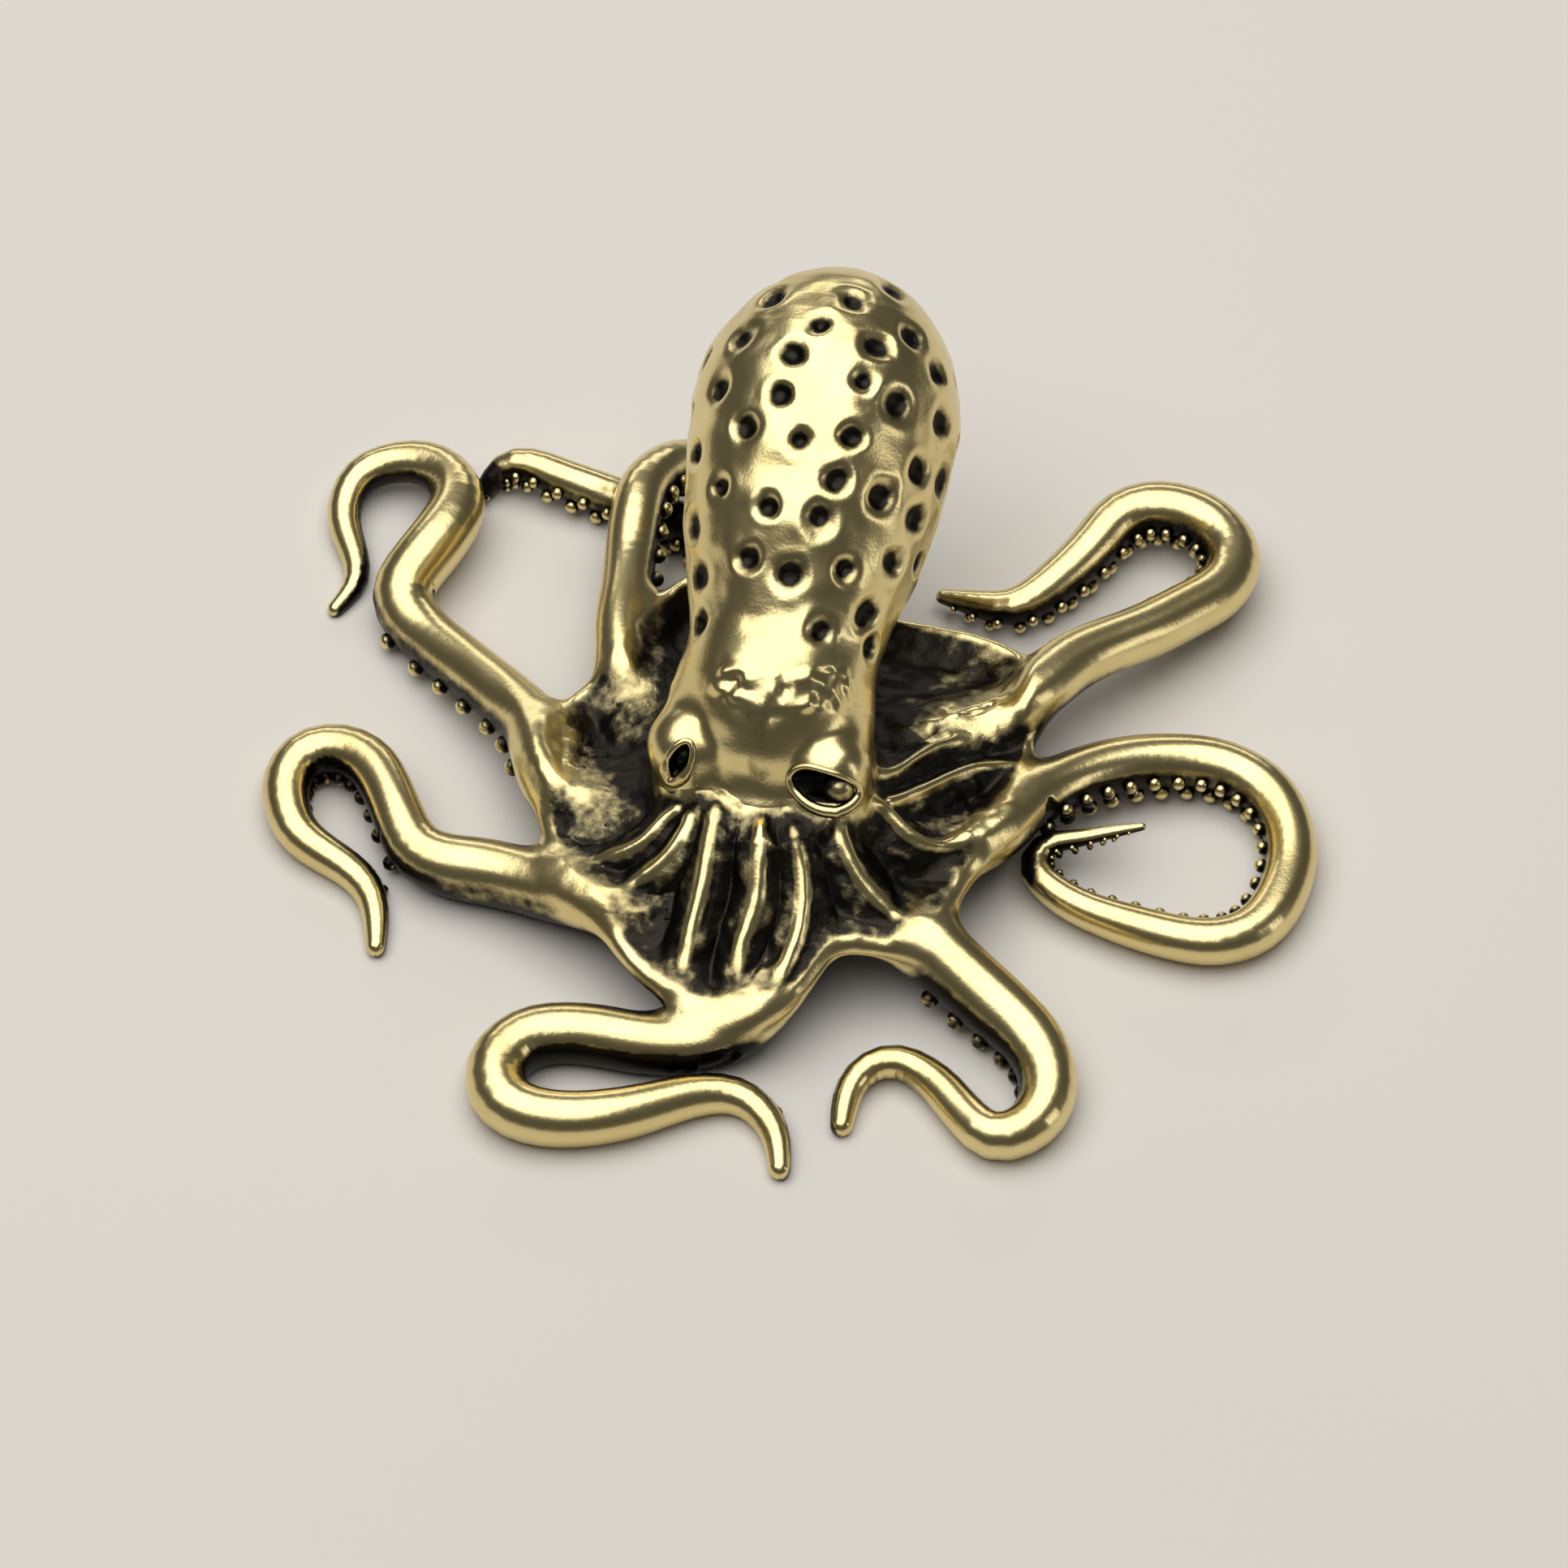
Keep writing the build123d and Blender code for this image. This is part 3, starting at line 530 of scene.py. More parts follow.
def fold_line(name):
    """A spline over the web's top through a fold's places, with a radius that tapers to both ends, where it sinks."""
    flat = WEB_OUTER_RADIUS * np.array(FOLD_PATH_SHARES[name])
    knots, share = lengths_along(flat), np.linspace(0.0, 1.0, FOLD_POINTS)
    flat = cubic_through(knots, flat, knots[-1] * share)
    heights = (web_height(np.linalg.norm(flat, axis=1)) - flat[:, 1] * WEB_AXIS[1]) / WEB_AXIS[2]
    at, radius_shares, sink_shares = np.array(FOLD_SECTION_SHARES).T
    sunk = FOLD_RADIUS * np.interp(share, at, sink_shares)
    line = np.column_stack([flat, heights]) - WEB_AXIS * sunk[:, None]
    return line, FOLD_RADIUS * np.interp(share, at, radius_shares)


fold_lines = {name: fold_line(name) for name in FOLD_PATH_SHARES}


def thread_field(points, line, radii):
    """Distance to a thread: the least distance to its straight stretches, where a point is near it at all."""
    distance = np.full(len(points), FAR)
    near = np.flatnonzero(np.all((points > line.min(axis=0) - FAR) & (points < line.max(axis=0) + FAR), axis=1))
    for index in range(len(line) - 1):
        gap = stretch_field(points[near], line[index], line[index + 1], radii[index], radii[index + 1])
        distance[near] = np.minimum(distance[near], gap)
    return distance


def folds_field(points):
    """Distance to the nearest fold."""
    return np.min([thread_field(points, line, radii) for line, radii in fold_lines.values()], axis=0)


def web_field(points):
    """The web with its folds."""
    folds = folds_field(points)
    return smooth_least(web_sheet_field(points, arms_field(points), folds, head_field(points)), folds, FOLD_FILLET)


def part_fields(points):
    """The fields of the casting's parts, by name."""
    fields = {f"arm_{name}": arm_field(points, name) for name in ARM_PATHS}
    arms, folds, head = np.min(list(fields.values()), axis=0), folds_field(points), head_field(points)
    sheet = web_sheet_field(points, arms, folds, head)
    fields.update(head=head, web=smooth_least(sheet, folds, FOLD_FILLET), mantle=mantle_field(points))
    body = smooth_least(smooth_least(head, sheet, WEB_FILLET), folds, FOLD_FILLET)
    body = smooth_least(body, arms, ARM_FILLET)
    fields["casting"] = smooth_least(body, fields["mantle"], MANTLE_FILLET)
    return fields


def casting(points):
    """The whole casting: head, web with folds, arms and mantle, with fillets between them."""
    return part_fields(points)["casting"]


# %% [markdown]
# Each piece starts as a plain grid of points, rolled into a tube, an egg or a bell. Its points then slide along their
# own normals until the field of the whole casting is nought there, which draws the fillets. Where another piece owns
# the skin, the grid dips a few hundredths of a millimetre below it, so that two skins never share one place.

# %% Grids, fillets, patina and meshes
BORDER_DIP = 0.06
INWARD_REACH = 0.15


def round_the_turn(count):
    """Evenly spaced angles round a full turn."""
    return np.linspace(0.0, 2.0 * np.pi, count, endpoint=False)


def ball_grid(columns, rows):
    """A ball of radius one, as rings from pole to pole without the poles, to be closed like a tube."""
    rise, turn = np.linspace(-np.pi / 2.0, np.pi / 2.0, rows + 2)[1:-1], round_the_turn(columns)
    return np.stack([np.cos(rise)[:, None] * np.cos(turn), np.cos(rise)[:, None] * np.sin(turn),
                     np.repeat(np.sin(rise)[:, None], columns, axis=1)], axis=-1)


def grid_normals(grid, closed_rows=False):
    """Outward directions of a grid of points, closed round its columns: the cross product of its two tangents."""
    ahead, behind = np.roll(grid, -1, axis=1), np.roll(grid, 1, axis=1)
    if closed_rows:
        rows = np.roll(grid, -1, axis=0) - np.roll(grid, 1, axis=0)
    else:
        rows = np.gradient(grid, axis=0)
    return unit(np.cross(ahead - behind, rows))


def moved(grid, normals, distances):
    """A grid whose points are moved along their normals, each by its own distance."""
    return grid + normals * distances.reshape(grid.shape[:-1] + (1,))


def draw_to_casting(grid, normals, name, reach, bury):
    """Slides points along their normals until the casting's field is nought, but no further than the reach.

    Inward the reach is small, but for the arms' roots inside the web's rim, which lie lower than their tubes.
    """
    start = grid.reshape(-1, 3)
    normals = normals.reshape(-1, 3)
    travel = np.zeros(len(start))
    inward = -INWARD_REACH - ROOT_SINK * smooth_step(0.3, 2.0, rim_inset(start))
    for step in range(7):
        travel = np.clip(travel - 0.85 * casting(start + normals * travel[:, None]), inward, reach)
    points = start + normals * travel[:, None]
    return (points - normals * sink_under_others(points, name, bury)[:, None]).reshape(grid.shape)


def sink_under_others(points, name, bury):
    """How far a piece's skin goes in where others own the skin: nought on the line where both are as near.

    Two skins that meet so cross without a step, because each leaves the common skin slowly and to its own side.
    """
    fields = part_fields(points)
    others = np.min([field for other, field in fields.items() if other not in (name, "casting")], axis=0)
    ahead = fields[name] - others
    return BORDER_DIP * smooth_step(0.0, 0.45, ahead) + bury * smooth_step(0.6, 1.6, ahead)


def occlusion(points, normals):
    """How hidden each place is: the field's shortfall at some distances along the normal, from 0 open to 1 hidden."""
    total = np.zeros(len(points))
    for distance, weight in ((0.35, 0.2), (0.8, 0.3), (1.5, 0.3), (2.4, 0.2)):
        field = casting(points + normals * distance)
        total += weight * (1.0 - np.clip(field / min(distance, FAR), 0.0, 1.0))
    return total


def cast_skin(points):
    """Lumps and grains that the wax kept on the web and on the arms' roots, but not on the crests of the folds."""
    here = smooth_step(-0.6, 1.4, rim_inset(points)) * smooth_step(0.0, 0.5, head_field(points))
    off_folds = 0.25 + 0.75 * smooth_step(0.02, 0.25, folds_field(points))
    here = here * smooth_step(1.2, 0.3, web_field(points)) * off_folds
    return here * (0.075 * noise(points, 0.75) + 0.045 * noise(points + 3.0, 0.38))


def patina_and_shade_of(grid, normals, extra=0.0):
    """How dark the patina stays in hidden places, between the ridges of the web and in small clouds, with painted
    shade added underneath.
    """
    points, normals = grid.reshape(-1, 3), normals.reshape(-1, 3)
    hidden = occlusion(points, normals)
    # under is how much each place faces down; it adds painted shade beneath the pieces
    under, upward = np.clip(-normals[:, 2], 0.0, 1.0), np.clip(normals[:, 2], 0.0, 1.0)
    arms, folds, head = arms_field(points), folds_field(points), head_field(points)
    sheet = web_sheet_field(points, arms, folds, head)
    on_web = smooth_step(0.8, 0.15, sheet) * smooth_step(0.05, 0.8, head) * smooth_step(0.1, 0.7, rim_inset(points))
    valleys = on_web * smooth_step(0.0, 0.20, folds) * (0.58 + 0.26 * smooth_step(0.0, 0.9, arms))
    rim_line = smooth_step(0.50, 0.15, rim_inset(points)) * upward * smooth_step(0.5, 0.1, sheet)
    glints = 3.0 * np.clip(cast_skin(points), 0.0, 0.1)
    clouds = 0.5 * noise(points, 1.1) + 0.5 * noise(points + 7.0, 0.45)
    shade = 1.8 * hidden + 0.30 * under + valleys - 0.8 * rim_line - glints + 0.14 * clouds
    return np.clip(shade + np.ravel(extra) - 0.14, 0.0, 1.0)


def grid_faces(rows, columns, closed_rows):
    """Quads between neighbouring points of a grid that is closed round its columns."""
    last = rows if closed_rows else rows - 1
    row, column = np.meshgrid(np.arange(last), np.arange(columns), indexing="ij")
    below, beside = (row + 1) % rows, (column + 1) % columns
    return np.stack([row * columns + column, row * columns + beside, below * columns + beside,
                     below * columns + column], axis=-1).reshape(-1, 4)


def end_fans(rows, columns):
    """Triangles that close a tube's first and last ring, to two middle points that follow the grid's own points."""
    ring, end, middle = np.arange(columns), (rows - 1) * columns, rows * columns
    return np.vstack([np.column_stack([np.full(columns, middle), np.roll(ring, -1), ring]),
                      np.column_stack([np.full(columns, middle + 1), end + ring, end + np.roll(ring, -1)])])


NO_TRIANGLES = np.zeros((0, 3), dtype=int)


def mesh_piece(name, points, quads, triangles, patina_and_shade):
    """A mesh object from arrays in millimetres, moved to the frame, with its patina and painted shade at every vertex.

    It rides on the one rigid body, has the one metal, and takes the place of the CAD piece of its name.
    """
    places = (points - FRAME_SHIFT) * MM
    mesh = bpy.data.meshes.new(name)
    loops = np.concatenate([quads.ravel(), triangles.ravel()]).astype(np.int32)
    sizes = np.concatenate([np.full(len(quads), 4), np.full(len(triangles), 3)]).astype(np.int32)
    mesh.vertices.add(len(places))
    mesh.vertices.foreach_set("co", places.astype(np.float32).ravel())
    mesh.loops.add(len(loops))
    mesh.loops.foreach_set("vertex_index", loops)
    mesh.polygons.add(len(sizes))
    mesh.polygons.foreach_set("loop_start", np.concatenate([[0], np.cumsum(sizes)[:-1]]).astype(np.int32))
    mesh.polygons.foreach_set("loop_total", sizes)
    mesh.polygons.foreach_set("use_smooth", np.ones(len(sizes), dtype=bool))
    mesh.update(calc_edges=True)
    # The stored number is the patina together with painted shade on the sides that face down
    stored = mesh.attributes.new("patina_and_shade", "FLOAT", "POINT")
    stored.data.foreach_set("value", patina_and_shade.astype(np.float32))
    piece = bpy.data.objects.new(name, mesh)
    bpy.context.scene.collection.objects.link(piece)
    mesh.materials.append(BRASS)
    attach(piece, "root")
    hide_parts(name)
    halves = np.vstack([quads[:, :3], quads[:, [0, 2, 3]], triangles])
    first, second, third = points[halves[:, 0]], points[halves[:, 1]], points[halves[:, 2]]
    volume = (first * np.cross(second, third)).sum() / 6.0
    print(name, len(places), "points,", len(sizes), "faces,", round(volume, 2), "mm3, patina", patina_and_shade.mean().round(2))


def tube_piece(name, grid, patina_and_shade):
    """An open grid, closed at both ends by a fan of triangles to the middle of its last ring."""
    rows, columns = grid.shape[:2]
    points = np.vstack([grid.reshape(-1, 3), grid[0].mean(axis=0), grid[-1].mean(axis=0)])
    shade = np.concatenate([patina_and_shade, [patina_and_shade[:columns].mean(), patina_and_shade[-columns:].mean()]])
    mesh_piece(name, points, grid_faces(rows, columns, False), end_fans(rows, columns), shade)


# %% [markdown]
# Antique brass is one metal in two states. Where it was polished it is a pale, slightly green gold that mirrors its
# surroundings. In the hollows the dark liver patina is still there, and that is rougher and shows less of the metal.
# The patina number at each vertex, which also holds painted shade on the sides that face down, mixes the two, and fine
# noise with a scale in tenths of a millimetre breaks it up.

# %% Antique brass


def srgb(code):
    """A colour written as on a paint card, in the linear values that the renderer works with."""
    parts = [int(code[place:place + 2], 16) / 255.0 for place in (0, 2, 4)]
    return tuple(part / 12.92 if part <= 0.04045 else ((part + 0.055) / 1.055) ** 2.4 for part in parts) + (1.0,)


def add_node(tree, kind, inputs=None, links=None, **settings):
    """One shader node with its settings, its constant inputs and the sockets that feed it."""
    node = tree.nodes.new(kind)
    for key, value in settings.items():
        setattr(node, key, value)
    for key, value in (inputs or {}).items():
        node.inputs[key].default_value = value
    for key, socket in (links or {}).items():
        tree.links.new(socket, node.inputs[key])
    return node


def blend_values(tree, share, first, second):
    """A node that goes from the first value to the second as the share goes from nought to one."""
    span = add_node(tree, "ShaderNodeMapRange", {"To Min": first, "To Max": second}, {"Value": share})
    return span.outputs["Result"]


def antique_brass():
    """Cast brass, darkened with liver of sulphur and tumbled bright on its high places.

    A mix node's sockets are known by number: 0 is its share, 6 and 7 are its two colours, and 2 is its result.
    """
    material = bpy.data.materials.new("antique_brass")
    material.use_nodes = True
    tree = material.node_tree
    shader = tree.nodes["Principled BSDF"]
    # The stored number holds the patina and the painted shade on the sides that face down
    stored = add_node(tree, "ShaderNodeAttribute", attribute_name="patina_and_shade")
    place = add_node(tree, "ShaderNodeTexCoord").outputs["Object"]
    specks = add_node(tree, "ShaderNodeTexNoise", {"Scale": 1.0 / (0.35 * MM), "Detail": 4.0, "Roughness": 0.6},
                      {"Vector": place})
    clouds = add_node(tree, "ShaderNodeTexNoise", {"Scale": 1.0 / (2.0 * MM), "Detail": 3.0}, {"Vector": place})
    uneven = add_node(tree, "ShaderNodeMath", {1: 0.5}, {0: specks.outputs["Fac"]}, operation="SUBTRACT")
    uneven = add_node(tree, "ShaderNodeMath", {1: 0.55}, {0: uneven.outputs[0]}, operation="MULTIPLY")
    share = add_node(tree, "ShaderNodeMath", links={0: stored.outputs["Fac"], 1: uneven.outputs[0]}, operation="ADD")
    share = add_node(tree, "ShaderNodeMapRange", {"From Min": 0.18, "From Max": 0.78}, {"Value": share.outputs[0]},
                     interpolation_type="SMOOTHSTEP").outputs["Result"]
    bright = add_node(tree, "ShaderNodeMix", {6: srgb("EFDFA8"), 7: srgb("D6BF7E")}, {0: clouds.outputs["Fac"]},
                      data_type="RGBA")
    colour = add_node(tree, "ShaderNodeMix", {7: srgb("2A2722")}, {0: share, 6: bright.outputs[2]}, data_type="RGBA")
    rough = blend_values(tree, share, 0.25, 0.38)
    scratches = add_node(tree, "ShaderNodeTexNoise", {"Scale": 1.0 / (0.12 * MM), "Detail": 3.0}, {"Vector": place})
    strength = blend_values(tree, share, 0.11, 0.35)
    bump = add_node(tree, "ShaderNodeBump", {"Distance": 0.05 * MM},
                    {"Strength": strength, "Height": scratches.outputs["Fac"]})
    shader.inputs["Metallic"].default_value = 1.0
    tree.links.new(colour.outputs[2], shader.inputs["Base Color"])
    tree.links.new(rough, shader.inputs["Roughness"])
    tree.links.new(bump.outputs["Normal"], shader.inputs["Normal"])
    return material


BRASS = antique_brass()

# The middle of the arms' own box, seen from above, is the frame's origin
arm_lows = np.min([(line - radii[:, None]).min(axis=0) for line, radii in field_lines.values()], axis=0)
arm_highs = np.max([(line + radii[:, None]).max(axis=0) for line, radii in field_lines.values()], axis=0)
FRAME_SHIFT = np.array([(arm_lows[0] + arm_highs[0]) / 2.0, (arm_lows[1] + arm_highs[1]) / 2.0, 0.0])
print("frame shift, mm", FRAME_SHIFT.round(3), "arms' box", arm_lows.round(2), arm_highs.round(2))

# %% [markdown]
# On the real object each arm is a rolled wax rod, thinned towards its tip, bent into its curl and pressed on the
# bench, which left it a flat underside. The rings of the tube stand square to the spline. Tiny swellings keep it from
# looking turned on a lathe, and the side with the suckers, which no polish reached, stays dark. The underside of each
# arm is darkened too, as painted shade.

# %% Arms
ARM_SPACING = 0.085
ARM_COLUMNS = 44
CAP_RINGS = 7
LEAST_RING = 0.02

# Which side of each arm has the suckers, as one looks from its root to its tip: 1 is left and -1 is right
SUCKER_SIDES = {"left_rear": 1, "left_front": 1, "front_left": 1, "front_right": -1, "right_front": -1,
                "right_rear": 1, "rear_left": -1, "rear_right": 1}


def ring_ways(first, second, count):
    """Directions round a ring: one way times the cosine of the angle and the other times its sine."""
    turn = round_the_turn(count)
    return first[:, None] * np.cos(turn)[None, :, None] + second[:, None] * np.sin(turn)[None, :, None]


def arm_rings(name):
    """Rings of points round an arm, from inside the trunk to the rounded tip."""
    line, radii = arm_line(name, ARM_SPACING)
    headings = unit(np.gradient(line, axis=0))
    bend = np.linspace(0.15, np.pi / 2.0, CAP_RINGS)
    reach, spread = np.sin(bend)[:, None], np.cos(bend)
    first = line[0] - headings[0] * radii[0] * reach[::-1]
    last = line[-1] + headings[-1] * radii[-1] * reach
    middles = np.vstack([first, line, last])
    ways = np.vstack([np.tile(headings[0], (CAP_RINGS, 1)), headings, np.tile(headings[-1], (CAP_RINGS, 1))])
    sizes = np.concatenate([radii[0] * spread[::-1], radii, radii[-1] * spread])
    sizes = np.maximum(sizes, LEAST_RING)
    level = level_beside(ways)
    outward = ring_ways(level, np.cross(ways, level), ARM_COLUMNS)
    return middles[:, None] + outward * sizes[:, None, None], outward, level


for name in ARM_PATHS:
    grid, outward, level = arm_rings(name)
    grid = draw_to_casting(grid, outward, f"arm_{name}", reach=0.45, bury=0.4)
    flat = grid.reshape(-1, 3)
    clear = smooth_step(0.1, 0.8, np.minimum(web_field(flat), head_field(flat)))
    lumps = 0.05 * clear * (0.5 + 0.5 * noise(flat, 1.7)) - cast_skin(flat)
    grid = moved(grid, outward, -lumps)
    grid[..., 2] = np.maximum(grid[..., 2], 0.0)
    normals = grid_normals(grid)
    # Dark on the side with the suckers, where patina stays, and on the underside, which is painted shade
    sucker_side_and_under_shade = (normals * level[:, None] * SUCKER_SIDES[name]).sum(axis=-1) - 0.7 * normals[..., 2]
    shade = patina_and_shade_of(grid, normals, 0.75 * smooth_step(0.15, 0.85, sucker_side_and_under_shade).ravel() * clear)
    tube_piece(f"arm_{name}", grid, shade)

# %% [markdown]
# The suckers are tiny wax balls set along the inner side of each arm, in one row or two. They shrink with the arm.
# A ball of seven rings of ten points is enough for a thing that is less than a millimetre across.

# %% Suckers
SUCKER_RADIUS = 0.33
SUCKER_STAND = 0.25
SECOND_ROW_SHARE = 0.85
SUCKER_SPACING = 0.05
ROW_SHIFT = 11
BALL_COLUMNS, BALL_RINGS = 10, 7

# Each arm's rows: their angles from straight down, the shares of the arm where they start and end, and their pitch
SUCKER_ROWS = {
    "left_rear": ((64,), 0.23, 0.50, 1.55),
    "left_front": ((50,), 0.45, 0.93, 1.12),
    "front_left": ((50,), 0.74, 0.94, 1.12),
    "front_right": ((50,), 0.28, 0.93, 1.12),
    "right_front": ((50, 92), 0.22, 0.98, 1.12),
    "right_rear": ((48, 80), 0.32, 0.98, 1.12),
    "rear_left": ((55, 90), 0.40, 0.95, 1.12),
    "rear_right": ((60, 96), 0.40, 0.97, 1.12),
}


def balls_piece(name, middles, sizes, extra):
    """Many little balls as one mesh, with some extra patina."""
    unit_ball = ball_grid(BALL_COLUMNS, BALL_RINGS)
    poles = np.array([[0.0, 0.0, -1.0], [0.0, 0.0, 1.0]])
    shape = np.vstack([unit_ball.reshape(-1, 3), poles])
    points = (middles[:, None] + shape[None] * sizes[:, None, None]).reshape(-1, 3)
    steps = (np.arange(len(middles)) * len(shape))[:, None, None]
    quads = (grid_faces(BALL_RINGS, BALL_COLUMNS, False)[None] + steps).reshape(-1, 4)
    fans = (end_fans(BALL_RINGS, BALL_COLUMNS)[None] + steps).reshape(-1, 3)
    mesh_piece(name, points, quads, fans, patina_and_shade_of(points, np.tile(shape, (len(middles), 1)), extra))


for name, (angles, first_share, last_share, pitch) in SUCKER_ROWS.items():
    line, radii = arm_line(name, SUCKER_SPACING)
    headings = unit(np.gradient(line, axis=0))
    level = level_beside(headings)
    down = -np.cross(headings, level)
    places, spot = [], first_share * len(line)
    while spot < last_share * len(line):
        places.append(int(spot))
        spot += pitch * (radii[int(spot)] / radii.max()) ** 0.7 / SUCKER_SPACING
    places = np.array(places)
    middles, sizes = [], []
    for row, angle in enumerate(angles):
        here = np.clip(places + row * ROW_SHIFT, 0, len(line) - 1)
        size = SUCKER_RADIUS * (radii[here] / radii.max()) ** 0.8 * (1.0 if row == 0 else SECOND_ROW_SHARE)
        low = np.degrees(np.arccos(np.clip((line[here, 2] - size) / radii[here], -1.0, 1.0)))
        turn = np.radians(np.maximum(angle, low))[:, None]
        out = level[here] * SUCKER_SIDES[name] * np.sin(turn) + down[here] * np.cos(turn)
        middles.append(line[here] + out * (radii[here] + SUCKER_STAND * size)[:, None])
        sizes.append(size)
    middles, sizes = np.vstack(middles), np.concatenate(sizes)
    middles[:, 2] = np.maximum(middles[:, 2], sizes + 0.01)
    balls_piece(f"suckers_{name}", middles, sizes, extra=0.05)

# %% [markdown]
# The mantle is an egg of wax, smoothed and then pricked all over with a round-ended tool. The dimples on its upper
# side are where the photo shows them, and the hidden back goes on in the same spacing. Slow waves in the wax make the
# highlight wander as it does on the real one.

# %% Mantle
MANTLE_ROWS, MANTLE_COLUMNS = 330, 300
BROW_PIXELS = [(895, 838), (945, 862), (1000, 850), (1035, 846)]

# Each dimple: a share of the mantle's length, and an angle round it in degrees from the top over the right side
DIMPLE_SHARES = [
    (0.11, 28), (0.12, 68), (0.11, -60), (0.18, 55), (0.21, -60), (0.21, 3), (0.24, -21), (0.25, 32),
    (0.30, 59), (0.32, -62), (0.34, 13), (0.34, 86), (0.35, -12), (0.39, -39), (0.41, 65), (0.42, 40), (0.43, 17),
    (0.48, -60), (0.50, -2), (0.51, 57), (0.52, 80), (0.52, -28), (0.53, 20), (0.60, -14), (0.62, -48), (0.63, 37),
    (0.64, 66), (0.66, 20), (0.64, 92), (0.70, -12), (0.74, -41), (0.75, 24), (0.75, 60), (0.78, -3), (0.78, 88),
    (0.81, 44), (0.85, -36), (0.86, 10), (0.18, 105), (0.19, -100), (0.19, 150), (0.19, -145), (0.29, 120),
    (0.30, -178), (0.30, -128), (0.32, -92), (0.31, 152), (0.43, 96), (0.42, 130), (0.41, 163), (0.42, -160),
    (0.42, -125), (0.44, -90), (0.53, 112), (0.54, 145), (0.54, 178), (0.54, -145), (0.56, -110), (0.59, -78),
    (0.66, 122), (0.65, 155), (0.66, -168), (0.67, -135), (0.69, -100), (0.72, -70), (0.78, 122), (0.78, 165),
    (0.78, -152), (0.79, -112), (0.85, -76), (0.88, 100), (0.89, 160), (0.89, -130), (0.93, 40), (0.93, -60),
    (0.96, 170),
]
DIMPLE_RADIUS = 0.53
DIMPLE_DEPTH = 0.29
DIMPLE_REACH = 1.6


def brow_roughness(points):
    """Small pits and grains on the brow, where the mantle was smeared on to the head."""
    line = from_photo(BROW_PIXELS, casting)
    patch = smooth_step(1.1, 0.3, thread_field(points, line, np.zeros(len(line))))
    return patch * (0.11 * noise(points, 0.40) + 0.06 * noise(points + 2.0, 0.85))


def round_mantle(angles):
    """The directions square to the mantle's axis at some angles round it."""
    return MANTLE_TOP * np.cos(angles)[:, None] + MANTLE_SIDE * np.sin(angles)[:, None]


dimple_share, dimple_angle = np.array(DIMPLE_SHARES).T
dimple_place = dimple_share * MANTLE_LENGTH
dimple_reach = np.interp(dimple_place, PROFILE_PLACES, PROFILE_RADII)
dimples = (MANTLE_FOOT + MANTLE_AXIS * dimple_place[:, None]
           + dimple_reach[:, None] * round_mantle(np.radians(dimple_angle)))
print("dimples", len(dimples))

mantle_along, mantle_across = (values[:-1, None, None] for values in mantle_profile(MANTLE_ROWS))
grid = MANTLE_FOOT + MANTLE_AXIS * mantle_along + round_mantle(round_the_turn(MANTLE_COLUMNS))[None] * mantle_across
grid = draw_to_casting(grid, grid_normals(grid), "mantle", reach=0.6, bury=0.5)
flat = grid.reshape(-1, 3)
waves = 0.11 * noise(flat, 3.1) + 0.10 * noise(flat + 5.0, 1.3) + 0.035 * noise(flat + 9.0, 0.6)
pits = np.zeros(len(flat))
for number, middle in enumerate(dimples):
    size = DIMPLE_RADIUS * (1.0 + 0.16 * math.sin(5.1 * number))
    gap = np.linalg.norm(flat - middle, axis=1)
    near = np.flatnonzero(gap < DIMPLE_REACH)
    gap = np.maximum(gap[near] / size + 0.18 * noise(flat[near], 0.5), 0.0)
    pits[near] += np.exp(-(gap / 0.78) ** 2.6)
    pits[near] -= 0.04 * np.exp(-((gap - 1.45) / 0.35) ** 2)
depth = DIMPLE_DEPTH * np.clip(pits, -0.3, 1.0) + (0.09 - waves * 0.6) * smooth_step(0.2, 1.4, head_field(flat))
grid = moved(grid, grid_normals(grid), brow_roughness(flat) - depth)
shade = patina_and_shade_of(grid, grid_normals(grid), 0.38 * smooth_step(0.35, 1.0, pits))
tube_piece("mantle", grid, shade)

# %% [markdown]
# Head, muzzle and trunk are one soft form under the mantle. Its grid is a ball of rays that leave an upright line
# inside the trunk, and each ray goes on until it meets the field. The two eyes are hollows in swellings, each with a
# rim of thin wax thread round it and a small ball inside. The photo shows the left eye nearly from its side.

# %% Head
EYES = {
    "left": {"hole": (835, 941), "half_width": 0.80, "half_height": 0.40, "roll": 76.0, "ball": 0.45,
             "sunk": 0.70, "along": 0.0},
    "right": {"hole": (1014, 975), "half_width": 1.20, "half_height": 0.70, "roll": -12.0, "ball": 0.56,
              "sunk": 0.50, "along": 0.48},
}
for name, eye in EYES.items():
    eye["place"] = from_photo([eye["hole"]], casting)[0]
    eye["out"] = unit(eye["place"] - eye_place(SIDES[name]) + eye_gaze(SIDES[name]) * 0.4)
    level = level_beside(eye["out"])
    upright = np.cross(eye["out"], level)
    roll = math.radians(eye["roll"])
    eye["long"] = level * math.cos(roll) + upright * math.sin(roll)
    eye["short"] = np.cross(eye["out"], eye["long"])
    print(name, "eye at", eye["place"].round(2), "looks", eye["out"].round(2))


def socket_depths(points):
    """How deep the eye hollows are: a bowl over an oval, deepest in its middle and nought at its rim."""
    depth = np.zeros(len(points))
    for eye in EYES.values():
        away = points - eye["place"]
        oval = np.hypot(away @ eye["long"] / eye["half_width"], away @ eye["short"] / eye["half_height"])
        in_front = (away @ eye["out"]) > -1.2
        depth = np.maximum(depth, np.where(in_front, 1.0 - smooth_step(0.45, 1.0, oval), 0.0))
    return depth


HEAD_ROWS, HEAD_COLUMNS = 230, 380
SOCKET_DEPTH = 0.75
BETWEEN_EYES_PIXELS = [(930, 885), (936, 950)]

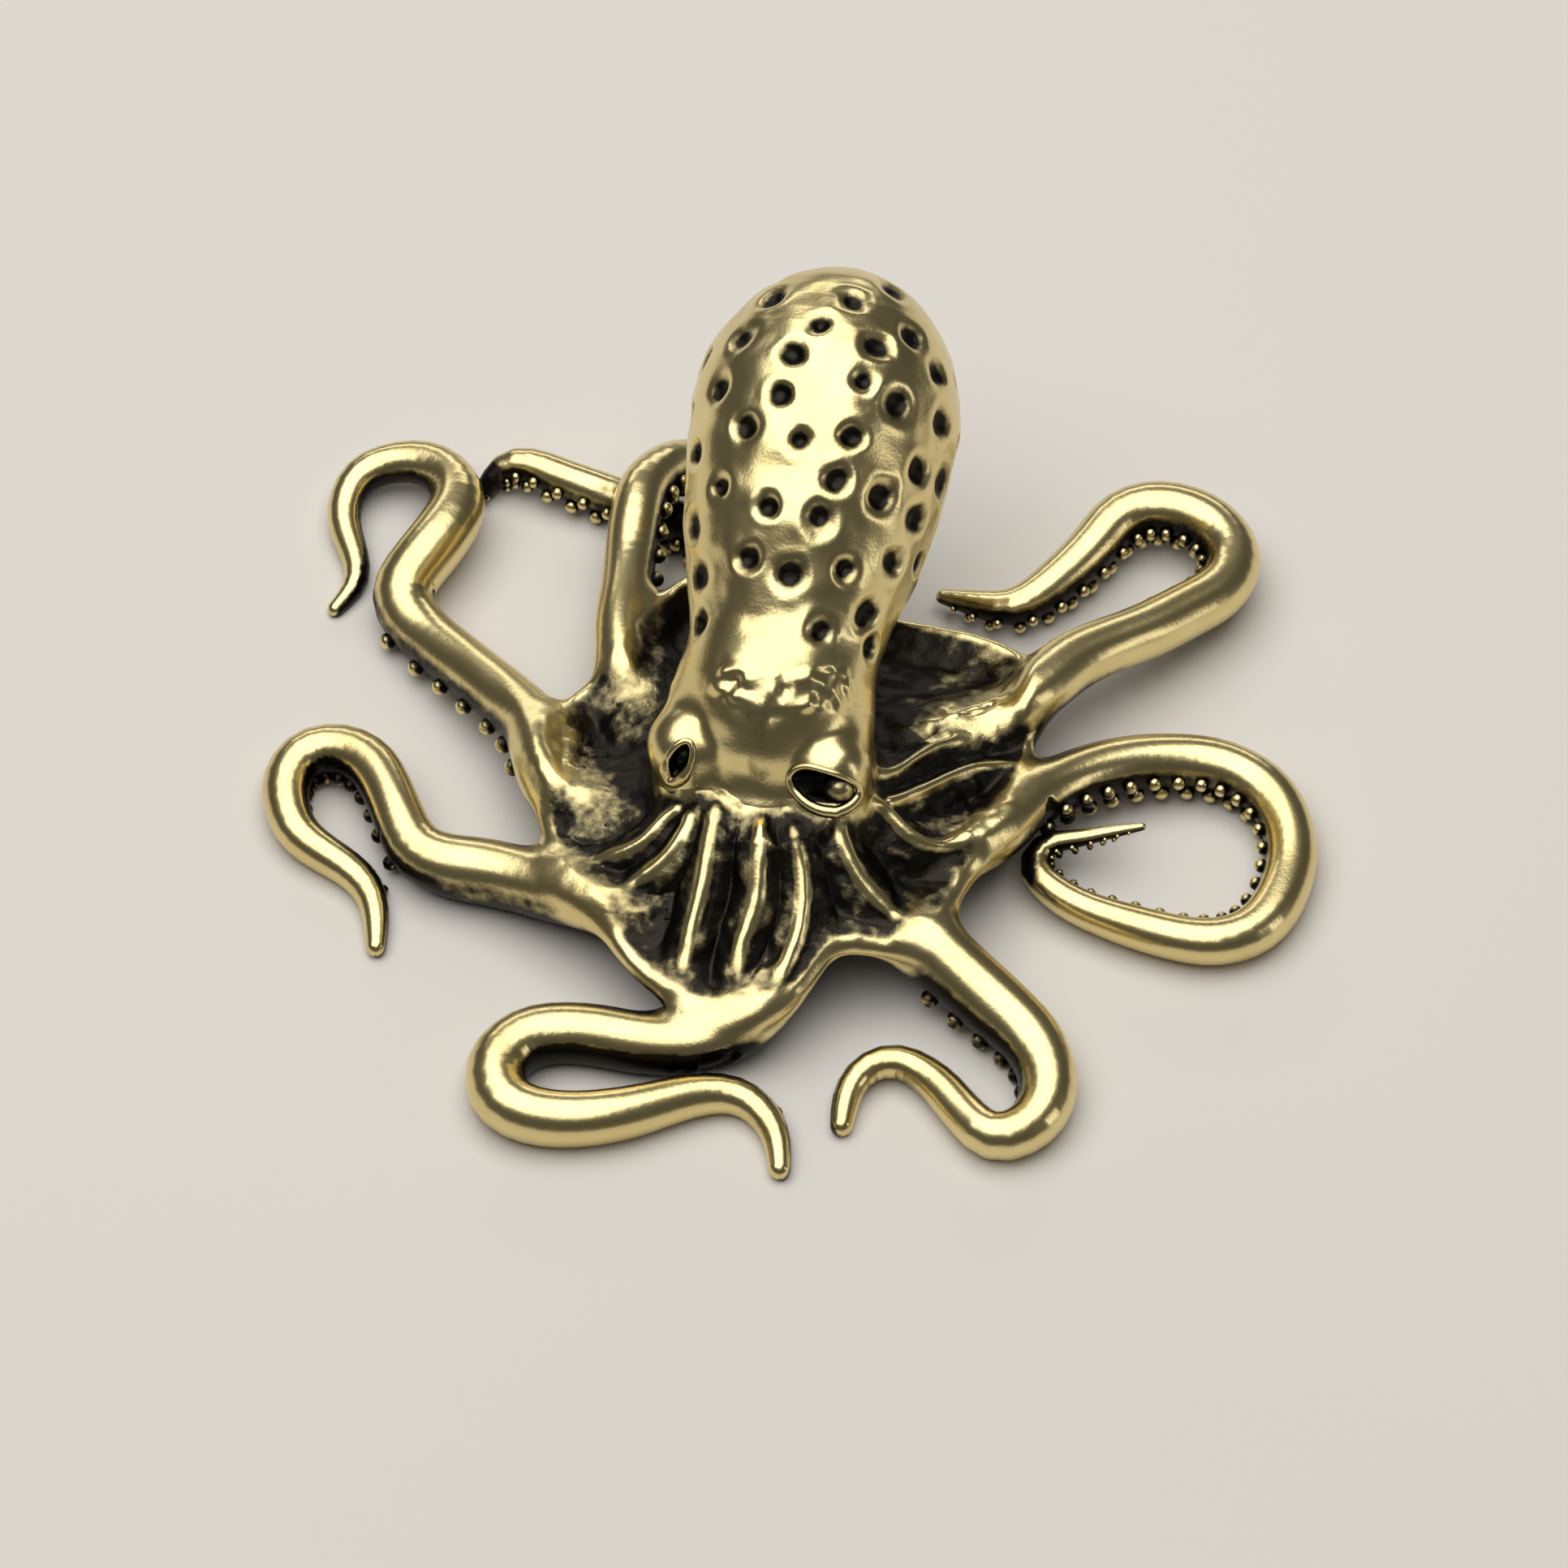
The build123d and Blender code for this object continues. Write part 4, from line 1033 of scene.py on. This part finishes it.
rays = ball_grid(HEAD_COLUMNS, HEAD_ROWS)
starts = np.empty_like(rays)
starts[..., :2] = HEAD_MIDDLE[:2] - [0.0, 0.1]
starts[..., 2] = np.interp(rays[..., 2], [-1.0, -0.6, 0.6, 1.0], [2.4, 3.0, HEAD_HEIGHT - 0.4, HEAD_HEIGHT])
starts, rays = starts.reshape(-1, 3), rays.reshape(-1, 3)

# Each ray finds the head alone first, and then goes a little further at most, to the skin of the whole casting
reach = np.full(len(rays), 1.5)
for step in range(26):
    reach = np.clip(reach - 0.75 * head_field(starts + rays * reach[:, None]), 0.6, 5.6)
limit = reach + 0.9
for step in range(10):
    reach = np.clip(reach - 0.7 * casting(starts + rays * reach[:, None]), 0.8, limit)
flat = starts + rays * reach[:, None]
grid = flat.reshape(HEAD_ROWS, HEAD_COLUMNS, 3)
rough = brow_roughness(flat) + 0.03 * noise(flat, 0.8) * smooth_step(-0.1, 0.5, mantle_field(flat))
sockets = socket_depths(flat)
grid = moved(grid, grid_normals(grid), rough - sink_under_others(flat, "head", bury=0.6) - SOCKET_DEPTH * sockets)
between = from_photo(BETWEEN_EYES_PIXELS, casting)
strip = smooth_step(0.35, -0.1, thread_field(grid.reshape(-1, 3), between, np.array([0.3, 0.3])))
tube_piece("head", grid, patina_and_shade_of(grid, grid_normals(grid), 0.9 * sockets + 0.40 * strip))

# %% Eyes
RIM_RINGS, RIM_COLUMNS = 72, 16
EYEBALL_COLUMNS, EYEBALL_RINGS = 40, 26

for name, eye in EYES.items():
    turn = round_the_turn(RIM_RINGS)
    loop = (eye["place"] + eye["long"] * (eye["half_width"] * np.cos(turn))[:, None]
            + eye["short"] * (eye["half_height"] * np.sin(turn))[:, None])

    # The loop settles on the skin
    for step in range(12):
        loop = loop - eye["out"] * np.clip(casting(loop), -0.3, 0.3)[:, None]
    heading = unit(np.roll(loop, -1, axis=0) - np.roll(loop, 1, axis=0))
    side = unit(np.cross(heading, eye["out"]))
    wire = 0.12 + 0.10 * np.clip(-(loop - eye["place"])[:, 2] / eye["half_height"], 0.0, 1.0)
    ring = loop[:, None] + ring_ways(side, np.cross(heading, side), RIM_COLUMNS) * wire[:, None, None]
    shade = patina_and_shade_of(ring, grid_normals(ring, closed_rows=True), extra=-0.15)
    mesh_piece(f"eye_rim_{name}", ring.reshape(-1, 3), grid_faces(RIM_RINGS, RIM_COLUMNS, True), NO_TRIANGLES, shade)

    middle = eye["place"] - eye["out"] * eye["sunk"] + eye["long"] * eye["along"]
    ball = middle + ball_grid(EYEBALL_COLUMNS, EYEBALL_RINGS) * eye["ball"]
    tube_piece(f"eyeball_{name}", ball, patina_and_shade_of(ball, grid_normals(ball), extra=0.50))

# %% [markdown]
# The web is one sheet, thicker than a real one would be because brass must run into it. The grid goes out over its
# top, round its edge and back underneath, and closes inside the trunk. Its surface stayed as rough as the wax was.

# %% Web
WEB_COLUMNS = 600
WEB_TOP_ROWS, WEB_EDGE_ROWS, WEB_UNDER_ROWS = 96, 8, 34

turn = np.linspace(2.0 * np.pi, 0.0, WEB_COLUMNS, endpoint=False)
rims = rim_radius(turn)
edge = WEB_THICKNESS / 2.0
top = WEB_MOUTH_RADIUS + (rims - edge - WEB_MOUTH_RADIUS) * np.linspace(0.0, 1.0, WEB_TOP_ROWS)[:, None]
under = WEB_MOUTH_RADIUS + (rims - edge - WEB_MOUTH_RADIUS) * np.linspace(1.0, 0.0, WEB_UNDER_ROWS)[:, None]
bend = np.linspace(np.pi / 2.0, -np.pi / 2.0, WEB_EDGE_ROWS + 2)[1:-1, None]
radius = np.vstack([top, (rims - edge) + edge * np.cos(bend), under])
offset = np.vstack([np.full_like(top, edge), edge * np.sin(bend) * np.ones_like(rims), np.full_like(under, -edge)])
level_y = radius * np.sin(turn)
tilt = math.radians(WEB_TILT)
middle_height = web_height(np.minimum(radius, rims - edge)) - edge
height = (middle_height + offset) / math.cos(tilt) + level_y * math.tan(tilt)
grid = np.stack([radius * np.cos(turn), level_y, height], axis=-1)

# The web's axis is tilted, so the heights are put right in the web's own frame
for step in range(4):
    radii_here, heights_here, angles_here = web_parts(grid.reshape(-1, 3))
    wanted = web_height(np.minimum(radii_here, rim_radius(angles_here) - edge)) - edge + offset.ravel()
    grid[..., 2] += (wanted - heights_here).reshape(radius.shape)
grid = draw_to_casting(grid, grid_normals(grid, closed_rows=True), "web", reach=0.5, bury=0.5)
grid = moved(grid, grid_normals(grid, closed_rows=True), cast_skin(grid.reshape(-1, 3)))
grid[..., 2] = np.maximum(grid[..., 2], 0.0)
shade = patina_and_shade_of(grid, grid_normals(grid, closed_rows=True))
mesh_piece("web", grid.reshape(-1, 3), grid_faces(len(grid), WEB_COLUMNS, True), NO_TRIANGLES, shade)

# %% [markdown]
# The figurine is photographed lying on its arms on a matt table, under one large soft lamp nearly overhead, a long
# thin one low behind it and a weak one at the right, as a jeweller's light tent gives. The grey between the lamps is
# what makes polished metal look like metal.

# %% Stage, lamps and camera


def plain_material(name, colour, rough):
    """A matt painted surface."""
    material = bpy.data.materials.new(name)
    material.use_nodes = True
    shader = material.node_tree.nodes["Principled BSDF"]
    shader.inputs["Base Color"].default_value = colour
    shader.inputs["Roughness"].default_value = rough
    return material


floor_mesh = bpy.data.meshes.new("floor")
floor_mesh.from_pydata([(-2, -2, 0), (2, -2, 0), (2, 2, 0), (-2, 2, 0)], [], [(0, 1, 2, 3)])
floor_mesh.materials.append(plain_material("floor", srgb("DDD8CF"), 0.9))
floor = bpy.data.objects.new("floor", floor_mesh)
bpy.context.scene.collection.objects.link(floor)
floor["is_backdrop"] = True


def soft_lamp(name, place, size, power):
    """A flat lamp that faces the figurine: the larger it is, the softer its light and the broader its image."""
    lamp = bpy.data.lights.new(name, "AREA")
    lamp.shape = "RECTANGLE"
    lamp.size, lamp.size_y = size
    lamp.energy = power
    holder = bpy.data.objects.new(name, lamp)
    holder.location = place
    toward = unit(LAMPS_AIM - np.array(place))
    holder.rotation_euler = (math.acos(-toward[2]), 0.0, math.atan2(-toward[0], toward[1]))
    bpy.context.scene.collection.objects.link(holder)


# Places and sizes in metres, powers in watts
LAMPS_AIM = np.array([0.0, 0.0, 0.006])
soft_lamp("key", (-0.04, 0.02, 0.30), (0.44, 0.42), 1.30)
soft_lamp("back", (-0.02, 0.34, 0.13), (0.34, 0.05), 0.15)
soft_lamp("fill", (0.32, -0.08, 0.10), (0.06, 0.18), 0.06)

world = bpy.data.worlds.new("studio")
bpy.context.scene.world = world
world.use_nodes = True
world.node_tree.nodes["Background"].inputs["Color"].default_value = srgb("6E6E6C")
world.node_tree.nodes["Background"].inputs["Strength"].default_value = 0.5

SENSOR_WIDTH = 36.0
camera_data = bpy.data.cameras.new("camera")
camera_data.sensor_width = SENSOR_WIDTH
camera_data.lens = SENSOR_WIDTH * PIXELS_PER_MM * CAMERA_DISTANCE / PHOTO_PIXELS
camera_data.clip_start = 0.01
camera = bpy.data.objects.new("camera", camera_data)
camera.location = (CAMERA_PLACE - FRAME_SHIFT) * MM
camera.rotation_euler = (math.pi / 2.0 - CAMERA_RISE, 0.0, 0.0)
bpy.context.scene.collection.objects.link(camera)
bpy.context.scene.camera = camera
bpy.context.scene.view_settings.view_transform = "Standard"
print("camera at", camera.location)

# %% Sizes side by side
visual_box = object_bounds()
sizes = {"cad": [[round(value, 5) for value in corner] for corner in cad_box],
         "visual": [[round(value, 5) for value in corner] for corner in visual_box]}
print(sizes)
